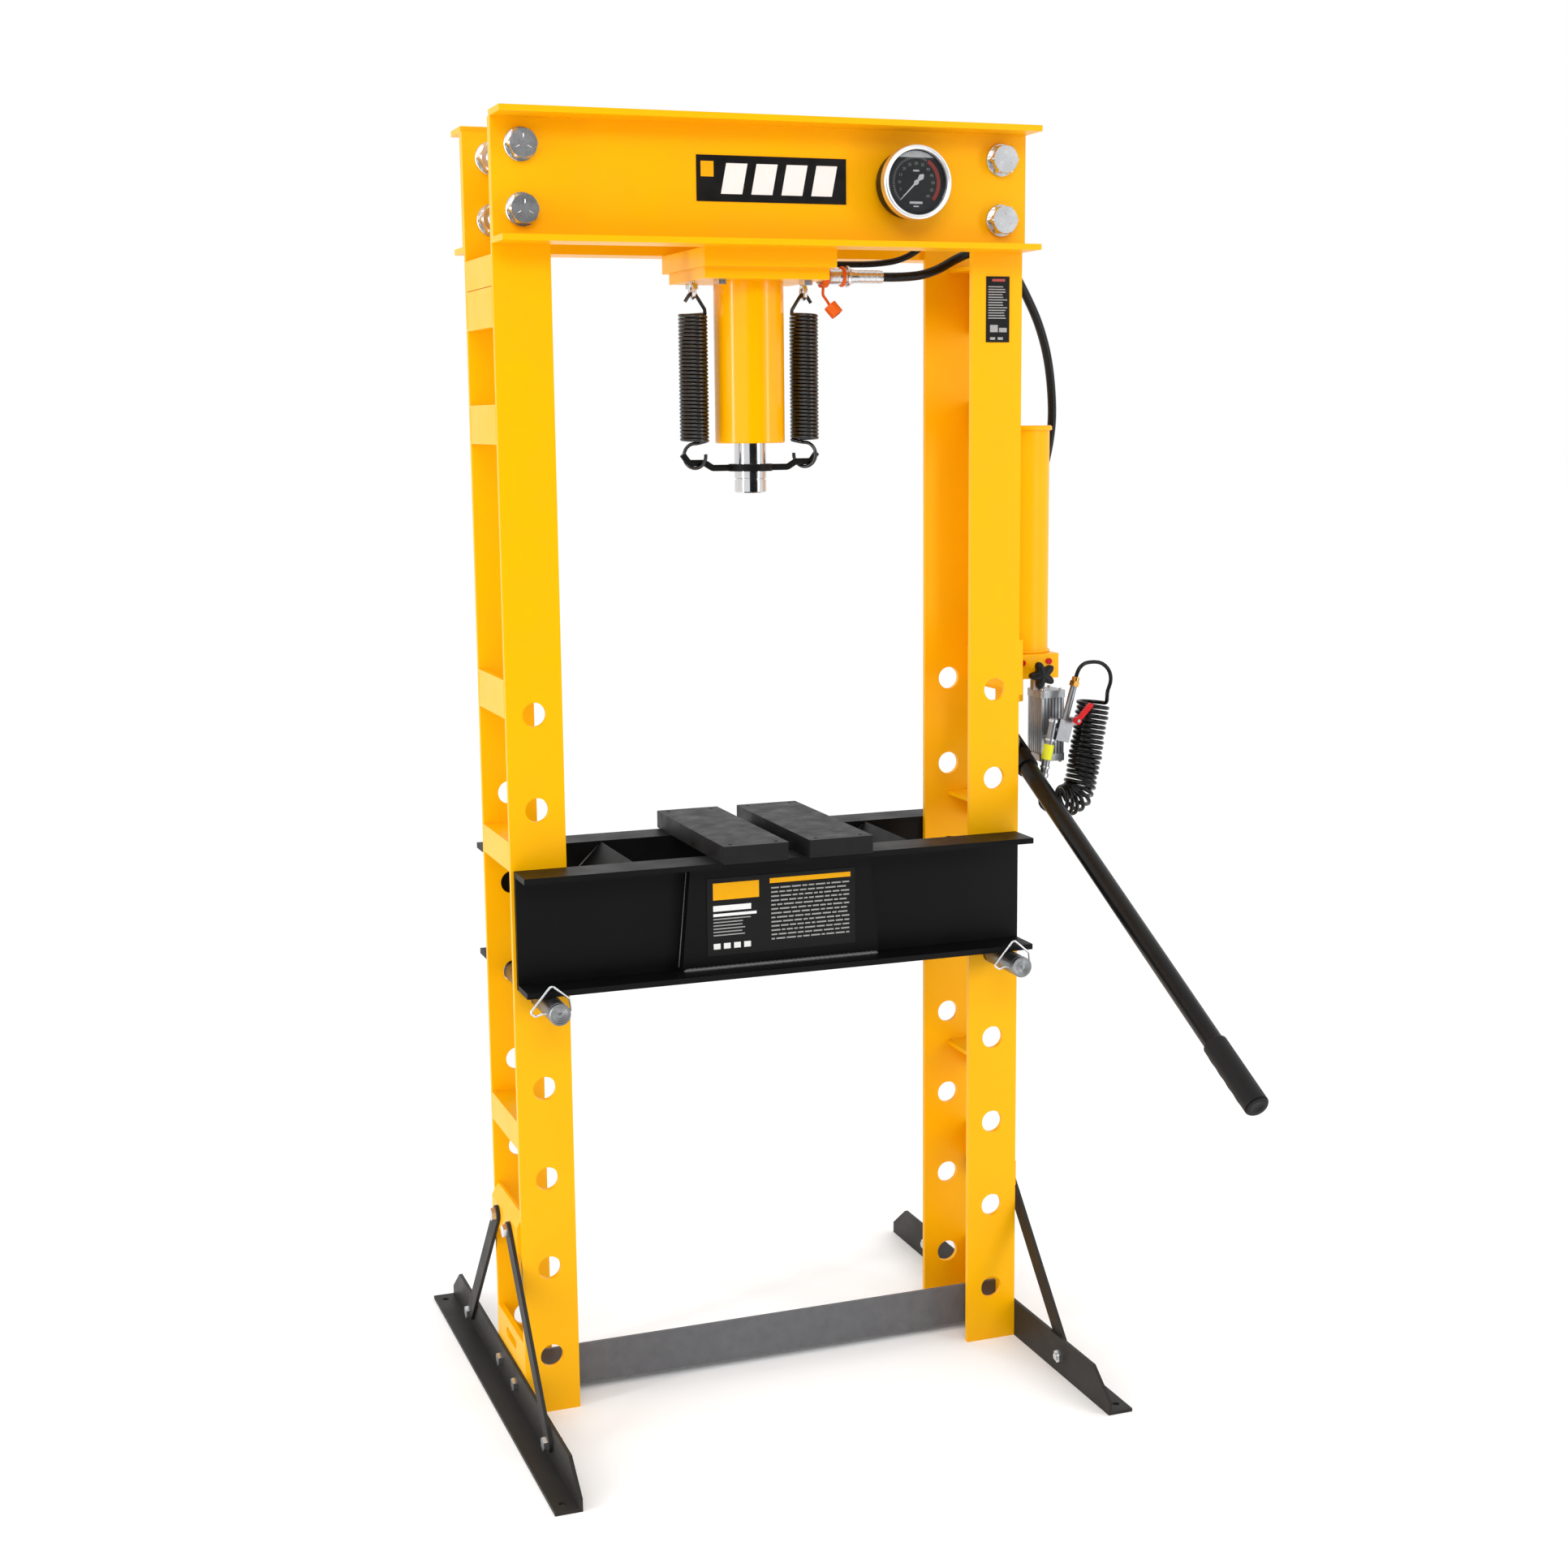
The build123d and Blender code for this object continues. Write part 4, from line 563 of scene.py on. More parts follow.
# ------------------------------------------------------------------ frame
@dataclass
class Frame:
    """Beams, uprights, feet and bracing, with their bolts, nuts and weld beads."""

    bolt_flats: float = 36.0
    bolt_head: float = 15.0
    bolt_radius: float = 12.0
    web_face: float = 92.0
    washer: float = 4.0
    washer_radius: float = 22.0
    bolt_x: float = 342.0
    bolt_levels: Tuple[float, float] = (1655.5, 1737.5)
    nut: float = 21.0
    inner_face: float = 76.0
    batten_levels: Tuple[float, ...] = (991.0, 1355.0, 1507.0)
    spacer_levels: Tuple[float, ...] = (428.0, 822.0)
    half_width: float = 381.0

    def make(self) -> None:
        """Dress the plates and build the fasteners and welds."""
        dress(YELLOW, "front_top_beam", "rear_top_beam", "left_uprights", "right_uprights",
              "upright_battens", "upright_spacers", "leg_brackets")
        dress(CHARCOAL, "foot_angles", "foot_braces")
        dress(RAIL, "lower_cross_rail")
        dress(ZINC, "foot_bolts", soften=0.6)
        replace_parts(self.bolts(), "beam_bolts")
        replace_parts(self.nuts(), "beam_nuts")
        self.welds()

    def places(self) -> List[Point]:
        """Side (-1 is the front), x and z of each beam bolt, front ones first."""
        return [(face, side * self.bolt_x, z) for face in (-1, 1) for side in (-1, 1)
                for z in self.bolt_levels]

    def bolts(self) -> bpy.types.Object:
        """Chamfered hexagon heads with three raised strokes, shanks and threaded tails."""
        patches = []
        seat, top, shank = self.web_face + self.washer, self.bolt_head, self.bolt_radius
        corner, chamfer = self.bolt_flats / 2 * 1.2, self.bolt_flats / 2 * 1.02
        head = [(CORE, 0), (chamfer, 0), (corner, 0.8), (corner, top - 2.0), (chamfer, top),
                (CORE, top)]
        depth = seat - (self.inner_face - self.washer - self.nut - 5)
        ridges = [(shank - (0.9 if index % 2 else 0.05), float(height)) for index, height
                  in enumerate(np.arange(-depth + 43, -depth + 1.5, -1.5))]
        thread = [(CORE, 0.5), (shank - 0.02, -depth + 44), *ridges,
                  (shank - 1.8, -depth + 0.2), (CORE, -depth + 0.2)]
        for face, x, z in self.places():
            origin, out = (x, face * seat, z), (0, face, 0)
            patches.append(turned(head, origin, out, 96, hexed(self.bolt_flats)))
            patches.append(turned(thread, origin, out, 40))
            for turn in range(3):
                angle = math.radians(90 + 120 * turn)
                near, far = ((x + reach * math.cos(angle), face * (seat + top),
                              z + reach * math.sin(angle)) for reach in (6.0, 12.0))
                patches.append(bead(near, far, 0.7, 50))
        return build("beam_bolts_forged", patches, ZINC, 35)

    def nuts(self) -> bpy.types.Object:
        """Chamfered nuts, and the washers on both sides of each joint."""
        patches = []
        r, t, bore = self.bolt_flats / 2, self.nut, self.bolt_radius + 0.05
        nut = [(bore, 0), (r, 0), (r * 1.2, 1.8), (r * 1.2, t - 1.8), (r, t), (bore, t)]
        hole, rim, thick = self.bolt_radius + 0.5, self.washer_radius, self.washer
        edge = [(hole, 0), (rim - 0.6, 0), (rim, 0.6), (rim, thick - 0.6), (rim - 0.6, thick),
                (hole, thick)]
        inner = self.inner_face - thick
        flat = hexed(self.bolt_flats)
        for face, x, z in self.places():
            patches.append(ring_turned(nut, (x, face * (inner - t), z), (0, face, 0), 72,
                                       lambda r, a: np.where(r > bore + 0.1, flat(r, a), r)))
            for low in (inner, self.web_face):
                patches.append(ring_turned(edge, (x, face * low, z), (0, face, 0), 64))
        return build("beam_nuts_and_washers", patches, ZINC, 35)

    def welds(self) -> bpy.types.Object:
        """Beads where battens, spacers and brackets meet the uprights."""
        patches = []
        for side in (-1, 1):
            outer = side * self.half_width
            edge = outer - side * 1.0
            patches += [bead((edge, y * 0.985, level + 2), (edge, y * 0.985, level + 50), 1.6, 5)
                        for level in self.batten_levels for y in (-76.5, 76.5)]
            patches += [bead((x, y, top), (x + side * 8, y, top), 1.8, 4)
                        for x in (outer - side * 36, outer - side * 10) for y in (-75.0, 75.0)
                        for top in self.spacer_levels]
        patches += [bead((382.0, y, 990.0), (382.0, y, 1060.0), 1.8, 5) for y in (-74.5, 74.5)]
        return build("frame_weld_beads", patches, WELD)


# ------------------------------------------------------------------ cylinder and ram
@dataclass
class Cylinder:
    """Carrier, cylinder, ram and the two return springs."""

    barrel_radius: float = 49.0
    bore_radius: float = 36.0
    barrel_low: float = 1352.0
    barrel_high: float = 1650.0
    cap: float = 15.0
    ram_radius: float = 22.5
    ram_low: float = 1283.0
    nose: float = 20.0
    ram_top: float = 1606.0
    spring_x: float = 82.0
    spring_radius: float = 20.6
    wire: float = 2.5
    spring_low: float = 1353.0
    spring_high: float = 1532.0
    turns: int = 34
    hook_crown: float = 1556.8
    ring_level: float = 1335.0
    ring_radius: float = 17.0

    def make(self) -> None:
        """Dress the cylinder's plates and build its round pieces and springs."""
        dress(YELLOW, "ram_carrier", "cylinder_mount_plate")
        dress(ZINC, "mount_plate_bolts", soften=0.5)
        dress(STEEL, "cylinder_gland", "piston")
        dress(BLACK, "spring_yoke")
        self.barrel()
        self.rod()
        self.springs()
        self.carrier_welds()

    def barrel(self) -> None:
        """Painted tube with its chamfered mouth, and the cap over it."""
        r, b = self.barrel_radius, self.bore_radius
        low, high = self.barrel_low, self.barrel_high
        tube = [(b, low), (b, high), (r, high), (r, low + 1.2), (r - 1.2, low), (b + 1.0, low)]
        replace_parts(build("cylinder_tube_painted", [ring_turned(tube, (0, 0, 0), UP, 128)],
                          ENAMEL), "cylinder_barrel")
        cap = [(CORE, -12), (b - 0.05, -12), (b - 0.05, 0), (r, 0), (r, self.cap - 2),
               (r - 2, self.cap), (CORE, self.cap)]
        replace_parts(build("cylinder_cap_turned", [turned(cap, (0, 0, high), UP, 96)],
                          YELLOW), "cylinder_end_cap")

    def rod(self) -> None:
        """Chromed ram, and its nose with a groove round it."""
        r, low = self.ram_radius, self.ram_low
        top = low + self.nose
        neck, neck_top = 14, self.ram_top + 30
        shaft = [(CORE, top), (r - 0.5, top), (r, top + 0.5), (r, self.ram_top),
                 (neck, self.ram_top), (neck, neck_top), (CORE, neck_top)]
        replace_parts(build("ram_rod_chromed", [turned(shaft, (0, 0, 0), UP, 96)], CHROME,
                          30, Body.RAM), "ram_rod")
        nose = [(CORE, low), (r - 1.5, low), (r, low + 1.5), (r, top - 2.0), (r - 1.5, top - 2.0),
                (r - 1.5, top - 0.05), (CORE, top - 0.05)]
        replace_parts(build("ram_nose_turned", [turned(nose, (0, 0, 0), UP, 96)], CHROME,
                          30, Body.RAM), "ram_nose")

    def coil_path(self, side: int) -> Array:
        """Helix of the wire: angle grows evenly while the height falls from top to bottom."""
        t = np.linspace(0, 1, self.turns * 28)
        angle = math.pi * (side > 0) + 2 * math.pi * self.turns * t
        r = self.spring_radius - self.wire
        drop = self.spring_high - self.spring_low - 2 * self.wire
        z = self.spring_high - self.wire - t * drop
        return np.stack([side * self.spring_x + r * np.cos(angle), r * np.sin(angle), z], 1)

    def hook_path(self, side: int) -> Array:
        """Upper hook: up the inner side, over the eye in a tight bend and down outside.

        Args:
            side: -1 for the left spring, 1 for the right one.

        Returns:
            Points of the wire's middle in millimetres.
        """
        x, lean, bend, reach = side * self.spring_x, math.radians(34), 6.5, 10
        centre = self.hook_crown - bend
        phi = np.linspace(math.pi - lean, lean, 16)
        over = np.stack([x + side * bend * np.cos(phi), 0 * phi, centre + bend * np.sin(phi)], 1)
        inner = self.spring_radius - self.wire
        foot = np.array([x - side * inner, 0, self.spring_high - 3])
        knee = np.array([x - side * (inner - 0.8), 0, self.spring_high + 4])
        leg = knee + (over[0] - knee) * np.linspace(0, 1, 8)[:-1, None]
        fall = np.array([side * math.sin(lean), 0, -math.cos(lean)])
        tail = over[-1] + fall * np.linspace(0, reach, 6)[1:, None]
        return np.concatenate([[foot], leg, over, tail])

    def ring_path(self, side: int) -> Array:
        """Lower hook: from the coil round the outside, under the yoke's arm and up inside.

        A cubic curve leaves the coil's last turn along the wire and meets the ring's top; the
        ring is a circle round the yoke's arm, turned by 45 degrees.

        Args:
            side: -1 for the left spring, 1 for the right one.

        Returns:
            Points of the wire's middle in millimetres.
        """
        a, turn = np.radians(np.linspace(90, -188, 52)), math.radians(-45)
        flat = side * self.ring_radius * np.cos(a)
        ring = np.stack([side * self.spring_x + flat * math.cos(turn), flat * math.sin(turn),
                         self.ring_level + self.ring_radius * np.sin(a)], 1)
        coil = self.coil_path(side)
        leave = coil[-1] - coil[-2]
        leave *= 14.0 / np.linalg.norm(leave)
        meet = ring[1] - ring[0]
        meet *= 22.0 / np.linalg.norm(meet)
        t = np.linspace(0, 1, 16)[:-1, None]
        lead = ((2 * t ** 3 - 3 * t ** 2 + 1) * coil[-1] + (t ** 3 - 2 * t ** 2 + t) * leave
                + (3 * t ** 2 - 2 * t ** 3) * ring[0] + (t ** 3 - t ** 2) * meet)
        return np.concatenate([lead, ring])

    def springs(self) -> None:
        """Each spring is its coil and its two hooks in one piece."""
        pieces = []
        for side, name in ((-1, "left"), (1, "right")):
            coil = self.coil_path(side)
            out = coil - np.array([side * self.spring_x, 0, 0])
            out[:, 2] = 0
            patches = [sweep(coil, self.wire, unit(out), 10),
                       pipe(self.hook_path(side), self.wire, 14, DEEP),
                       pipe(self.ring_path(side), self.wire, 14, (0.707, 0.707, 0))]
            obj = build(f"{name}_return_spring_coil", patches, LACQUER)
            obj.parent = None
            obj.matrix_world = Matrix.Identity(4)
            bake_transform(obj)
            pieces.append(obj)
        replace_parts(pieces[0], "return_springs")

    def carrier_welds(self) -> None:
        """Bead where the mount plate meets the tapered carrier."""
        patches = [bead((-88, y, 1588.0), (88, y, 1588.0), 1.6, 5) for y in (-80.0, 80.0)]
        patches += [bead((x, -78, 1588.0), (x, 78, 1588.0), 1.6, 5) for x in (-90.0, 90.0)]
        build("carrier_weld_beads", patches, WELD)


# ------------------------------------------------------------------ bed
@dataclass
class Bed:
    """Channels, stiffening plates, loose plates, pins, clips and the notice."""

    low: float = 618.3
    top: float = 783.3
    web_face: float = 92.5
    plate: float = 18.0
    low_half: float = 148.0
    top_half: float = 134.0
    pin_x: float = 342.0
    pin_z: float = 603.0
    pin_radius: float = 15.0
    pin_front: float = -182.0
    pin_rear: float = 150.0
    tie_x: float = 207.0

    def make(self) -> None:
        """Dress the bed and build its pins, clips, welds and label."""
        dress(BLACK, "bed_channels", "bed_web_plates", "bed_cross_ties")
        dress(PLATE, "left_arbor_plate", "right_arbor_plate", soften=1.0)
        dress(FILM, "bed_label")
        self.pins()
        dress(ZINC, "left_pin_clip", "right_pin_clip")
        self.welds()
        self.label()

    def pins(self) -> None:
        """Turned pins with a groove, chamfers and a shallow ring pattern on the front end."""
        for side, body, name in ((-1, Body.LEFT_PIN, "left"), (1, Body.RIGHT_PIN, "right")):
            r, length = self.pin_radius, self.pin_rear - self.pin_front
            profile = [(CORE, 0.0), (3, 0.0), (4, 0.4), (6, 0.0), (7, 0.4), (9, 0.0), (10, 0.4),
                       (12, 0.0), (r - 1.5, 0.0), (r, 1.5), (r, 7), (r - 1.2, 7.4),
                       (r - 1.2, 9.1), (r, 9.5), (r, length - 1.5), (r - 1.5, length),
                       (CORE, length)]
            pin = turned(profile, (side * self.pin_x, self.pin_front, self.pin_z), DEEP, 64)
            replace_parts(build(f"{name}_bed_pin_turned", [pin], PIN_STEEL, 30, body),
                        f"{name}_bed_pin")

    def welds(self) -> None:
        """Rippled beads along the lower edge and both sloping ends of each stiffening plate."""
        patches = []
        for side in (-1, 1):
            y, z = side * (self.web_face + self.plate + 1.2), self.low + 9.5
            patches.append(bead((-self.low_half + 2, y, z), (self.low_half - 2, y, z), 3.6, 7))
            y = side * (self.web_face + 1)
            for end in (-1, 1):
                patches.append(bead((end * (self.low_half - 0.5), y, self.low + 11),
                                    (end * (self.top_half - 0.5), y, self.top - 11), 1.2, 6))
        for x in (-self.tie_x, self.tie_x):
            for y in (-84.0, 84.0):
                for foot in (x - 34, x + 34):
                    patches.append(bead((foot, y, self.top - 36), (x, y, self.top - 4), 2.0, 5))
        # Their colour carries painted glints: pale grey patches on the black paint.
        build("bed_weld_beads", patches, WELD_BLACK_GLINTS, body=Body.BED)

    def label(self) -> None:
        """Generic print of the notice: a header bar, rows of short bars and plain blocks."""
        face = -(self.web_face + self.plate + 1.0)
        middle = (self.low + self.top) / 2
        left, edge = -102, 98
        rng = np.random.default_rng(7)
        grey: List[Patch] = []
        for z in (middle + 34 - row * 6.1 for row in range(13)):
            x = -16.0
            while x < edge:
                width = min(float(rng.uniform(5, 16)), edge + 4 - x)
                grey.append(printed(x, x + width, z, z + 2.1, face))
                x += width + 2.2
        for z in (middle - 4 - row * 4.6 for row in range(6)):
            grey.append(printed(left, left + float(rng.uniform(38, 62)), z, z + 1.6, face))
        build("bed_label_small_print", grey, INK_GREY, body=Body.BED)
        white = [printed(left, -46, middle + 8, middle + 16, face),
                 printed(left, -38, middle + 0.5, middle + 4.5, face)]
        white += [printed(x, x + 10, middle - 46, middle - 38, face)
                  for x in range(left, left + 60, 15)]
        build("bed_label_white_blocks", white, INK_WHITE, body=Body.BED)
        yellow = [printed(-18, 104, middle + 42, middle + 49, face),
                  printed(left, -34, middle + 24, middle + 48, face)]
        build("bed_label_yellow_blocks", yellow, INK_YELLOW, body=Body.BED)


# ------------------------------------------------------------------ gauge and badge
@dataclass
class Gauge:
    """Pressure gauge with its printed dial, and the plain badge and notice."""

    x: float = 197.0
    z: float = 1700.0
    bezel_front: float = -140.0
    case_back: float = -95.0
    elbow_y: float = -72.0
    dial_front: float = -130.5
    radius: float = 50.0
    web_face: float = 92.0
    upright_face: float = 84.0
    zero_angle: float = 225.0

    def make(self) -> None:
        """Dress the gauge's nodes and build its rim, case, print and painted reflection."""
        dress(DIAL, "gauge_dial")
        dress(GLASS, "gauge_lens")
        dress(FILM, "frame_labels")
        self.rim()
        self.ink()
        self.badge()
        self.notice()

    def rim(self) -> None:
        """Rolled bezel round the dial, and the case behind it."""
        r, lip = self.radius, self.radius - 7.0
        crown = [(r - 3.5 - 3.5 * math.cos(a), 3.5 - 3.5 * math.sin(a))
                 for a in np.linspace(0, math.pi, 9)]
        profile = [(lip, 7.5), (lip, 3.0), (lip + 0.6, 1.2), *crown[2:], (r, 13.8),
                   (46.1, 13.8), (46.1, 7.8)]
        rim = ring_turned(profile, (self.x, self.bezel_front, self.z), DEEP, 128)
        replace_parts(build("gauge_bezel_spun", [rim], SATIN, 30), "gauge_bezel")
        self.case()

    def case(self) -> None:
        """Case as one turned cup, with the hexagon, stem and elbow behind it."""
        depth = self.case_back - (self.bezel_front + 8)
        cup = [(43.5, 0.0), (45.9, 0.0), (45.9, depth - 5), (43.0, depth - 0.8), (40, depth),
               (CORE, depth), (CORE, depth - 8.4), (43.5, depth - 8.6)]
        back = (self.x, self.case_back, self.z)
        patches = [
            ring_turned(cup, (self.x, self.bezel_front + 8, self.z), DEEP, 96),
            turned([(CORE, 0), (13, 0), (15.2, 0.6), (15.2, 3), (CORE, 3)], back, DEEP, 48,
                   hexed(26)),
            turned([(CORE, 0), (8.9, 0), (8.9, 31), (7.9, 32), (CORE, 32)], back, DEEP, 40),
            turned([(CORE, 0), (8, 0), (8, 14), (7, 15), (CORE, 15)],
                   (self.x, self.elbow_y, self.z), ACROSS, 32)]
        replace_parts(build("gauge_case_and_stem", patches, KNOB_PLASTIC, 30), "gauge_case")

    def polar(self, radius: float, degrees: float) -> Tuple[float, float]:
        """Place on the dial at a radius and an angle clockwise from the top."""
        a = math.radians(degrees)
        return self.x + radius * math.sin(a), self.z + radius * math.cos(a)

    def stroke(self, near: float, far: float, degrees: float, width: float) -> Patch:
        """Radial stroke of ink on the dial."""
        side = np.subtract(self.polar(width / 2, degrees + 90), (self.x, self.z))
        a, b = self.polar(near, degrees), self.polar(far, degrees)
        return self.flat(np.array([a - side, a + side, b + side, b - side]))

    def flat(self, outline: Array, lift: float = 0.12, foot: float = -0.05) -> Patch:
        """Closed thin plate on the dial, from its foot to the lift before the dial."""
        return sheet(outline, self.dial_front - foot, self.dial_front - lift)

    def band(self, near: float, far: float, start: float, end: float) -> Patch:
        """Arc-shaped stroke of ink between two angles."""
        angles = np.radians(np.linspace(start, end, 40))
        outer = np.stack([self.x + far * np.sin(angles), self.z + far * np.cos(angles)], 1)
        inner = np.stack([self.x + near * np.sin(angles), self.z + near * np.cos(angles)], 1)
        return self.flat(np.concatenate([outer, inner[::-1]]))

    def block(self, half: float, low: float, high: float) -> Patch:
        """Upright rectangle of ink, centred on the dial."""
        x, z = self.x, self.z
        return self.flat(np.array([[x - half, z + low], [x + half, z + low],
                                   [x + half, z + high], [x - half, z + high]]))

    def ink(self) -> None:
        """Scale, numbers, the red sector, plain bars and the painted reflection at the top."""
        grey = [self.stroke(31.5, 34.5, self.zero_angle + step * 4.5, 0.8) for step in range(37)]
        build("gauge_dial_scale", grey, INK_GREY)
        build("gauge_dial_red_sector", [self.band(30.8, 36.0, 32, 132)], INK_RED)
        white = [self.block(4.5, 14.5, 16.6), self.block(9.5, -28.2, -25.2),
                 self.block(4.0, -32.4, -30.8)]
        build("gauge_dial_white_print", white, INK_WHITE)
        self.numbers()
        self.pointer()
        # Painted reflection: a pale flat patch at the top of the dial stands for the light on the
        # domed window.
        angles = np.linspace(math.radians(-38), math.radians(38), 28)
        rim = np.stack([self.x + 41.8 * np.sin(angles), self.z + 41.8 * np.cos(angles)], 1)
        build("gauge_dome_reflection_painted", [self.flat(rim, 0.3)], DOME_REFLECTION)

    def pointer(self) -> None:
        """Slim pointer with a round hub and a broad tail, in the CAD needle's place."""
        out = math.radians(self.zero_angle)
        along = np.array([math.sin(out), math.cos(out)])
        across = np.array([along[1], -along[0]])
        shape = [(33, 0.35), (4, 1.1), (2.4, 2.6), (-2.4, 2.6), (-4, 1.4), (-10.5, 4.0),
                 (-15, 1.0)]
        centre = np.array([self.x, self.z])
        sides = [[centre + run * along + sign * half * across for run, half in order]
                 for sign, order in ((1, shape), (-1, shape[::-1]))]
        blade = self.flat(np.array(sides[0] + sides[1]), 1.3, 0.35)
        hub = turned([(CORE, 0), (3.2, 0), (3.2, 1.2), (2.4, 1.6), (CORE, 1.6)],
                     (self.x, self.dial_front - 0.4, self.z), (0, -1, 0), 32)
        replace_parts(build("gauge_pointer_stamped", [blade, hub], NEEDLE, body=Body.NEEDLE),
                    "gauge_needle")

    def numbers(self) -> None:
        """Numbers 0 to 60 in steps of five round the dial, as one flat mesh."""
        whole = bmesh.new()
        for step in range(13):
            text = bpy.data.curves.new(f"dial_number_{step * 5}", "FONT")
            text.body = str(step * 5)
            text.size = 5.4 * MM
            text.align_x = text.align_y = "CENTER"
            text.extrude = 0.06 * MM
            text.resolution_u = 3
            mesh = final_mesh(add_object(text.name, text))
            px, pz = self.polar(25.0, self.zero_angle + step * 22.5)
            mesh.transform(Matrix.Translation((px * MM, (self.dial_front - 0.05) * MM, pz * MM))
                           @ Matrix.Rotation(math.pi / 2, 4, "X"))
            whole.from_mesh(mesh)
            bpy.data.meshes.remove(mesh)
        mesh = bpy.data.meshes.new("gauge_numbers")
        whole.to_mesh(mesh)
        whole.free()
        mesh.materials.append(INK_GREY.material())
        for face in mesh.polygons:
            face.material_index = 0
        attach(add_object("gauge_numbers", mesh), Body.FRAME.value)

    def badge(self) -> None:
        """Badge on the beam: slanted plain bars and a small block, no lettering."""
        face, low, high = -(self.web_face + 1.0), 1682.0, 1722.0
        white = [sheet(np.array([[x, low], [x + 30, low], [x + 38, high], [x + 8, high]]),
                       face + 0.05, face - 0.2) for x in (-70.0, -27.0, 16.0, 59.0)]
        build("badge_white_bars", white, INK_WHITE)
        build("badge_yellow_block", [printed(-98, -80, 1704, 1724, face)], INK_YELLOW)

    def notice(self) -> None:
        """Upright notice: a red header, rows of short bars and two plain blocks."""
        face = -(self.upright_face + 1.0)
        rng = np.random.default_rng(11)
        grey = [printed(328, 328 + float(rng.uniform(22, 30)), z, z + 1.4, face)
                for z in (1565 - row * 3.6 for row in range(13))]
        grey += [printed(*block, face) for block in (
            (331, 343, 1503, 1513), (345, 357, 1503, 1509), (331, 339, 1492.5, 1496),
            (343, 351, 1492.5, 1496))]
        build("notice_small_print", grey, INK_GREY)
        build("notice_header", [printed(334, 354, 1573, 1576.5, face)], INK_RED)


